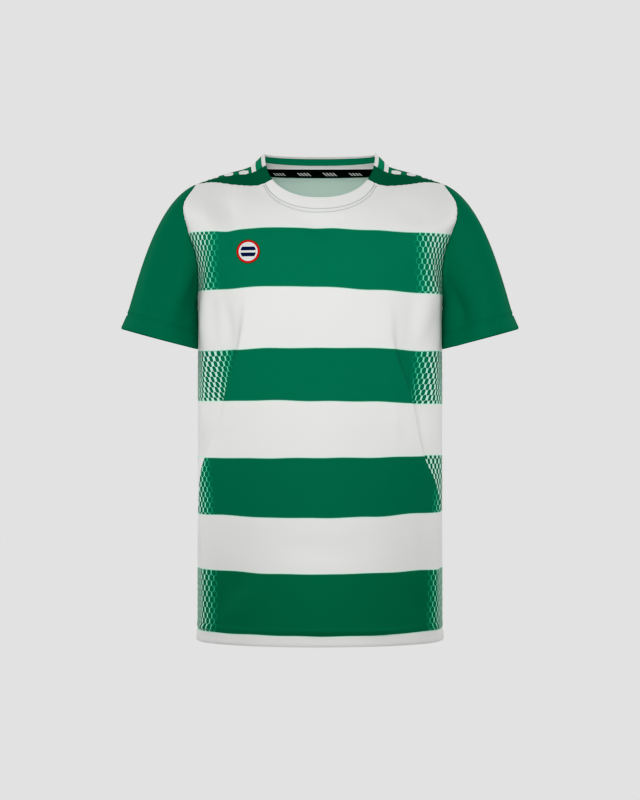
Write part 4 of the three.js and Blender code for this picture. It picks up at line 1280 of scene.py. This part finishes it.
def tape_paint(n, uv):
    """Black tape with a repeated group of slanted white strokes."""
    x, y = n.print_place(uv)
    leaned = n.math("ADD", x, n.math("MULTIPLY", y, STROKES["lean"]))
    turns = n.math("FRACT", n.math("DIVIDE", leaned, STROKES["pitch"]))
    group = n.math("MULTIPLY", turns, STROKES["pitch"])
    in_group = n.within(group, STROKES["first"], STROKES["last"])
    from_first = n.math("SUBTRACT", group, STROKES["first"])
    place = n.math("FRACT", n.math("DIVIDE", from_first, STROKES["apart"]))
    stroke = n.math("LESS_THAN", place, STROKES["share"])
    tall = n.within(y, STROKES["low"], STROKES["high"])
    mask = n.math("MULTIPLY", n.math("MULTIPLY", in_group, stroke), tall)
    return n.mix(mask, srgb(14, 14, 15), srgb(215, 215, 213))


def reverse_material(name, colour):
    """The duller inner face of a plain dyed piece."""
    return cloth_material(name, plain_paint(colour), roughness=REVERSE_ROUGHNESS)


def rib_material(name, edges):
    """Coarse rib of the collar, white with one green stripe between two edges."""
    return cloth_material(name, stripes_paint(edges, (WHITE, RIB_GREEN, WHITE)),
                          wale=1.9, course=0.8, relief=1.0)


body_knit = cloth_material("body_knit", body_paint)
body_reverse = cloth_material("body_reverse", reverse_paint, relief=0.4, roughness=REVERSE_ROUGHNESS)
sleeve_knit = cloth_material("sleeve_knit", plain_paint(SLEEVE_GREEN), gloss_tint=GREEN_TINT)
sleeve_reverse = reverse_material("sleeve_reverse", SLEEVE_REVERSE)
inset_knit = cloth_material("inset_knit", plain_paint(INSET_GREEN), gloss_tint=GREEN_TINT)
inset_reverse = reverse_material("inset_reverse", INSET_REVERSE)
strip_knit = cloth_material("strip_knit", motif_paint)
strip_reverse = reverse_material("strip_reverse", SLEEVE_REVERSE)
neckband_knit = cloth_material("neckband_knit", plain_paint(WHITE), wale=1.1, course=0.8)
collar_rib = rib_material("collar_rib", (5.0, 14.0))
collar_rib_inside = rib_material("collar_rib_inside", (2.8, 11.5))
tape_weave = cloth_material("tape_weave", tape_paint, wale=0.6, course=0.6, relief=0.6)

front = body_panel("front", True, body_knit, body_reverse)
back = body_panel("back", False, body_knit, body_reverse)
insets = [shoulder_front("shoulder_front_" + label, side, inset_knit, inset_reverse)
          for label, side in SIDES]
strips = [shoulder_back("shoulder_back_" + label, side, strip_knit, strip_reverse)
          for label, side in SIDES]
band = neckband_front(neckband_knit, neckband_knit)
collar = collar_back(collar_rib, collar_rib_inside)
tape = neck_tape(tape_weave)
sleeves = [sleeve("sleeve_" + label, side, sleeve_knit, sleeve_reverse) for label, side in SIDES]


# Stitches and the chest patch

def reading(at, keys, vectors):
    """A vector between the rows of a list, by its keys."""
    return [np.interp(at, keys, vectors[:, k]) for k in range(3)]


def lengths_along(line):
    """Length of a line up to each of its points."""
    return np.concatenate(([0], np.cumsum(np.linalg.norm(np.diff(line, axis=0), axis=1))))


def row_at(name, edge, distance, first=0.0, last=1.0):
    """A line on a finished surface at a distance from one rim: places and directions out."""
    points, normals = SURFACES[name]
    across = rim_distance(points, edge)
    if edge == "top":
        points, normals, across = points[::-1], normals[::-1], across[::-1]
    columns = range(across.shape[1])
    line = np.array([reading(distance, across[:, c], points[:, c]) for c in columns])
    out = np.array([reading(distance, across[:, c], normals[:, c]) for c in columns])
    length = lengths_along(line)
    keep = (length >= first * length[-1]) & (length <= last * length[-1])
    return line[keep], out[keep]


def stitch_row(name, rows, thread, pitch=2.6, long=2.0, thick=0.34):
    """Short stitches of thread that lie along lines on the cloth, as one piece."""
    bm = bmesh.new()
    for line, out in rows:
        length = lengths_along(line)
        for place in np.arange(pitch / 2, length[-1], pitch):
            middle = Vector(reading(place, length, line))
            up = Vector(reading(place, length, out)).normalized()
            ahead = Vector(reading(place + 0.5, length, line))
            behind = Vector(reading(place - 0.5, length, line))
            run = (ahead - behind).normalized()
            side = up.cross(run).normalized()
            turn = Matrix((run, side, up)).transposed().to_4x4()
            turn.translation = (middle + up * thick * 0.35) * MM
            size = Matrix.Diagonal((long / 2 * MM, thick / 2 * MM * 1.3, thick / 2 * MM, 1))
            bmesh.ops.create_icosphere(bm, subdivisions=1, radius=1, matrix=turn @ size)
    piece = new_piece(name, bm)
    piece.data.materials.append(thread)
    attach(piece, "root")
    return piece


def thread_material(name, colour):
    """Twisted polyester thread."""
    material = bpy.data.materials.new(name)
    n = empty_tree(material)
    shader = n.add("ShaderNodeBsdfPrincipled")
    n.put(n.add("ShaderNodeOutputMaterial").inputs["Surface"], shader.outputs[0])
    tone = n.add("ShaderNodeGroup", node_tree=TONE)
    n.put(tone.inputs["Place"], n.add("ShaderNodeTexCoord").outputs["Object"])
    darker = tuple(value * 0.8 for value in colour[:3]) + (1.0,)
    n.put(shader.inputs["Base Color"], n.mix(tone.outputs["Fine"], darker, colour))
    n.put(shader.inputs["Roughness"], n.math("ADD", 0.4, n.math("MULTIPLY", tone.outputs["Fine"], 0.2)))
    shader.inputs["Specular IOR Level"].default_value = 0.3
    return material


def badge_paint(n, uv):
    """A round patch: red rim, white ground and two navy bands."""
    x, y = n.print_place(uv)
    radius = n.reach(x, y)
    band = n.math("ABSOLUTE", n.math("SUBTRACT", n.math("ABSOLUTE", y), BADGE["band_middle"]))
    in_band = n.math("MULTIPLY", n.ramp(band, *BADGE["band_half"], 1.0, 0.0),
                     n.ramp(radius, *BADGE["bands_end"], 1.0, 0.0))
    ground = n.mix(in_band, srgb(232, 232, 230), srgb(22, 30, 66))
    return n.mix(n.ramp(radius, *BADGE["rim_starts"]), ground, srgb(205, 42, 44))


def chest_badge(cloth, material):
    """A round patch that lies on the front, over the wearer's right breast."""
    bm = bmesh.new()
    bmesh.ops.create_circle(bm, cap_ends=True, cap_tris=True, segments=BADGE["spokes"], radius=1)
    spread = [edge for edge in bm.edges if any(vert.co.length < 0.01 for vert in edge.verts)]
    bmesh.ops.subdivide_edges(bm, edges=spread, cuts=BADGE["rings"] - 1, use_grid_fill=True)
    uv_layer = bm.loops.layers.uv.new("print")
    source = bmesh.new()
    source.from_mesh(cloth.data)
    surface = BVHTree.FromBMesh(source)
    for face in bm.faces:
        for loop in face.loops:
            flat = loop.vert.co * BADGE["radius"] * MM
            loop[uv_layer].uv = (flat.x, flat.y)
    for vert in bm.verts:
        flat = vert.co * BADGE["radius"]
        start = Vector((BADGE["x"] + flat.x, -300, BADGE["z"] + flat.y)) * MM
        hit, normal, _, _ = surface.ray_cast(start, Vector((0, 1, 0)))
        radius = vert.co.length
        rim = 0.35 * bump(radius - 0.91, 0.07)
        lift = BADGE["lift"] + rim - 0.3 * max(0, (radius - 0.96) / 0.04)
        outward = normal if normal.y < 0 else -normal
        vert.co = hit + outward * lift * MM
    source.free()
    bmesh.ops.recalc_face_normals(bm, faces=bm.faces)
    if sum(face.normal.y for face in bm.faces) > 0:
        bmesh.ops.reverse_faces(bm, faces=bm.faces)
    piece = new_piece("chest_badge", bm)
    thicken(piece, BADGE["thickness"], material, material, 0.25)
    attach(piece, "root")
    return piece


neck_thread = thread_material("neck_thread", srgb(104, 138, 127))
green_thread = thread_material("green_thread", srgb(0, 92, 62))
badge_weave = cloth_material("badge_weave", badge_paint, wale=0.7, course=0.35, relief=0.8)
badge = chest_badge(front, badge_weave)

# Shares of the front's top edge between which the neckband's seam runs
along_top = rim_distance(SURFACES["front"][0], "left")[-1]
top_columns = finer(COLUMNS, COLUMNS_A_STEP)
neck_ends = [float(np.interp(c, top_columns, along_top) / along_top[-1])
             for c in (SEAM_STEPS, COLUMNS - SEAM_STEPS)]
neck_stitches = stitch_row(
    "neck_stitches", [row_at("front", "top", distance, neck_ends[0] + less, neck_ends[1] - less)
                      for distance, less in zip(NECK_STITCHES, (0.004, -0.008))],
    neck_thread, 2.3, 2.05, 0.55)
hem_stitches = {
    name: stitch_row(name + "_hem_stitches", [row_at(name, "bottom", d) for d in HEM_STITCHES],
                     green_thread)
    for name in ("front", "back")}
cuff_stitches = {
    side: stitch_row("cuff_stitches_" + side,
                     [row_at("sleeve_" + side, "bottom", d) for d in CUFF_STITCHES],
                     green_thread)
    for side in ("left", "right")}


def measured(piece):
    """Area of one face of a cloth piece, and the spans of its print map, in metres."""
    area = sum(polygon.area for polygon in piece.data.polygons)
    data = piece.data.uv_layers["print"].data
    uv = np.zeros(len(data) * 2)
    data.foreach_get("uv", uv)
    uv = uv.reshape(-1, 2)
    return area, uv.max(0) - uv.min(0)


def run_length(points, axis):
    """Longest run of a grid of points along one of its axes, in metres."""
    steps = np.linalg.norm(np.diff(points, axis=axis), axis=2)
    return float(steps.sum(axis).max()) * MM


for piece in [front, back, *insets, *strips, band, collar, tape, *sleeves]:
    area, spans = measured(piece)
    if piece in (front, back):
        points = SURFACES[piece.name.removesuffix("_cloth")][0]
        spans = run_length(points, 1), spans[1]


# Floor, light and camera

# Tone of the backdrop, and the floor in metres
PAPER = 0.81
FLOOR_RADIUS = 9
FLOOR_Z = -1.15


def floor_material():
    """Pale paper: it takes the object's soft shadow near the middle and ends in the backdrop's tone."""
    material = bpy.data.materials.new("floor_paper")
    n = empty_tree(material)
    paper = n.add("ShaderNodeBsdfDiffuse")
    paper.inputs["Color"].default_value = (0.8, 0.8, 0.8, 1)
    glow = n.add("ShaderNodeEmission")
    glow.inputs["Color"].default_value = (PAPER, PAPER, PAPER, 1)
    place = n.add("ShaderNodeTexCoord").outputs["Object"]
    x, y, _ = n.split(place)
    radius = n.reach(x, y)
    seen = n.add("ShaderNodeLightPath").outputs["Is Camera Ray"]
    far = n.math("MULTIPLY", n.ramp(radius, 0.2, 2.2, 0.55, 1.0), seen)
    mixed = n.add("ShaderNodeMixShader")
    n.put(mixed.inputs[0], far)
    n.put(mixed.inputs[1], paper.outputs[0])
    n.put(mixed.inputs[2], glow.outputs[0])
    output = n.add("ShaderNodeOutputMaterial")
    n.put(output.inputs["Surface"], mixed.outputs[0])
    return material


def floor_disc():
    """A wide pale floor well below the hem."""
    bm = bmesh.new()
    bmesh.ops.create_circle(bm, cap_ends=True, segments=96, radius=FLOOR_RADIUS)
    for vert in bm.verts:
        vert.co.z = FLOOR_Z
    floor = new_piece("floor", bm)
    floor.data.materials.append(floor_material())


def stand_light(name, light, place, target):
    """Stands a light in its place, aimed at a target and out of the camera's sight."""
    lamp = bpy.data.objects.new(name, light)
    lamp.location = place
    lamp.rotation_euler = (Vector(target) - Vector(place)).to_track_quat("-Z", "Y").to_euler()
    lamp.visible_camera = False
    bpy.context.scene.collection.objects.link(lamp)


def area_light(name, place, target, size, power):
    """A soft square light that points at a target."""
    light = bpy.data.lights.new(name, "AREA")
    light.shape = "SQUARE"
    light.size = size
    light.energy = power
    stand_light(name, light, place, target)


def spot_light(name, place, target, radius, power, cone):
    """A soft round light whose beam fades towards its rim."""
    light = bpy.data.lights.new(name, "SPOT")
    light.shadow_soft_size = radius
    light.energy = power
    light.spot_size = math.radians(cone)
    light.spot_blend = 1.0
    stand_light(name, light, place, target)


def studio_world(strength):
    """Even light from all round, with the backdrop's own tone behind the object."""
    world = bpy.data.worlds.new("studio")
    n = empty_tree(world)
    fill = n.add("ShaderNodeBackground")
    fill.inputs["Color"].default_value = (1, 1, 1, 1)
    fill.inputs["Strength"].default_value = strength
    backdrop = n.add("ShaderNodeBackground")
    backdrop.inputs["Color"].default_value = (PAPER, PAPER, PAPER, 1)
    backdrop.inputs["Strength"].default_value = 1
    mixed = n.add("ShaderNodeMixShader")
    n.put(mixed.inputs[0], n.add("ShaderNodeLightPath").outputs["Is Camera Ray"])
    n.put(mixed.inputs[1], fill.outputs[0])
    n.put(mixed.inputs[2], backdrop.outputs[0])
    n.put(n.add("ShaderNodeOutputWorld").inputs["Surface"], mixed.outputs[0])
    bpy.context.scene.world = world


# Spots: name, place, target, radius in metres, power in watts, cone in degrees
SPOTS = (
    ("key_light", (-0.3, -2.65, 0.35), (0, 0, -0.11), 0.35, 99, 26),
    ("centre_light", (0.0, -2.6, -0.1), (0, 0, -0.24), 0.3, 212, 11.6),
    ("hem_light", (0.0, -1.5, 1.7), (0, -0.1, -0.72), 0.06, 104, 8.4),
)

# Soft boxes: name, place, target, side in metres, power in watts
SOFT_BOXES = (
    ("left_light", (-1.9, 0.6, 0.6), (0, 0, -0.2), 1.0, 17),
    ("right_light", (1.9, 0.6, 0.6), (0, 0, -0.2), 1.0, 17),
    ("back_light", (0.0, 2.2, 0.7), (0, 0, -0.25), 1.6, 14),
)
WORLD_LIGHT = 0.44
CAMERA_PLACE = (0, -2.8, -0.2918)
CAMERA_LENS = 98.44

floor_disc()
studio_world(WORLD_LIGHT)
for spot in SPOTS:
    spot_light(*spot)
for box in SOFT_BOXES:
    area_light(*box)
bpy.context.scene.view_settings.view_transform = "Khronos PBR Neutral"

camera_data = bpy.data.cameras.new("camera")
camera_data.lens = CAMERA_LENS
camera_data.sensor_width = 36
camera = bpy.data.objects.new("camera", camera_data)
camera.location = CAMERA_PLACE
camera.rotation_euler = (math.radians(90), 0, 0)
bpy.context.scene.collection.objects.link(camera)
bpy.context.scene.camera = camera
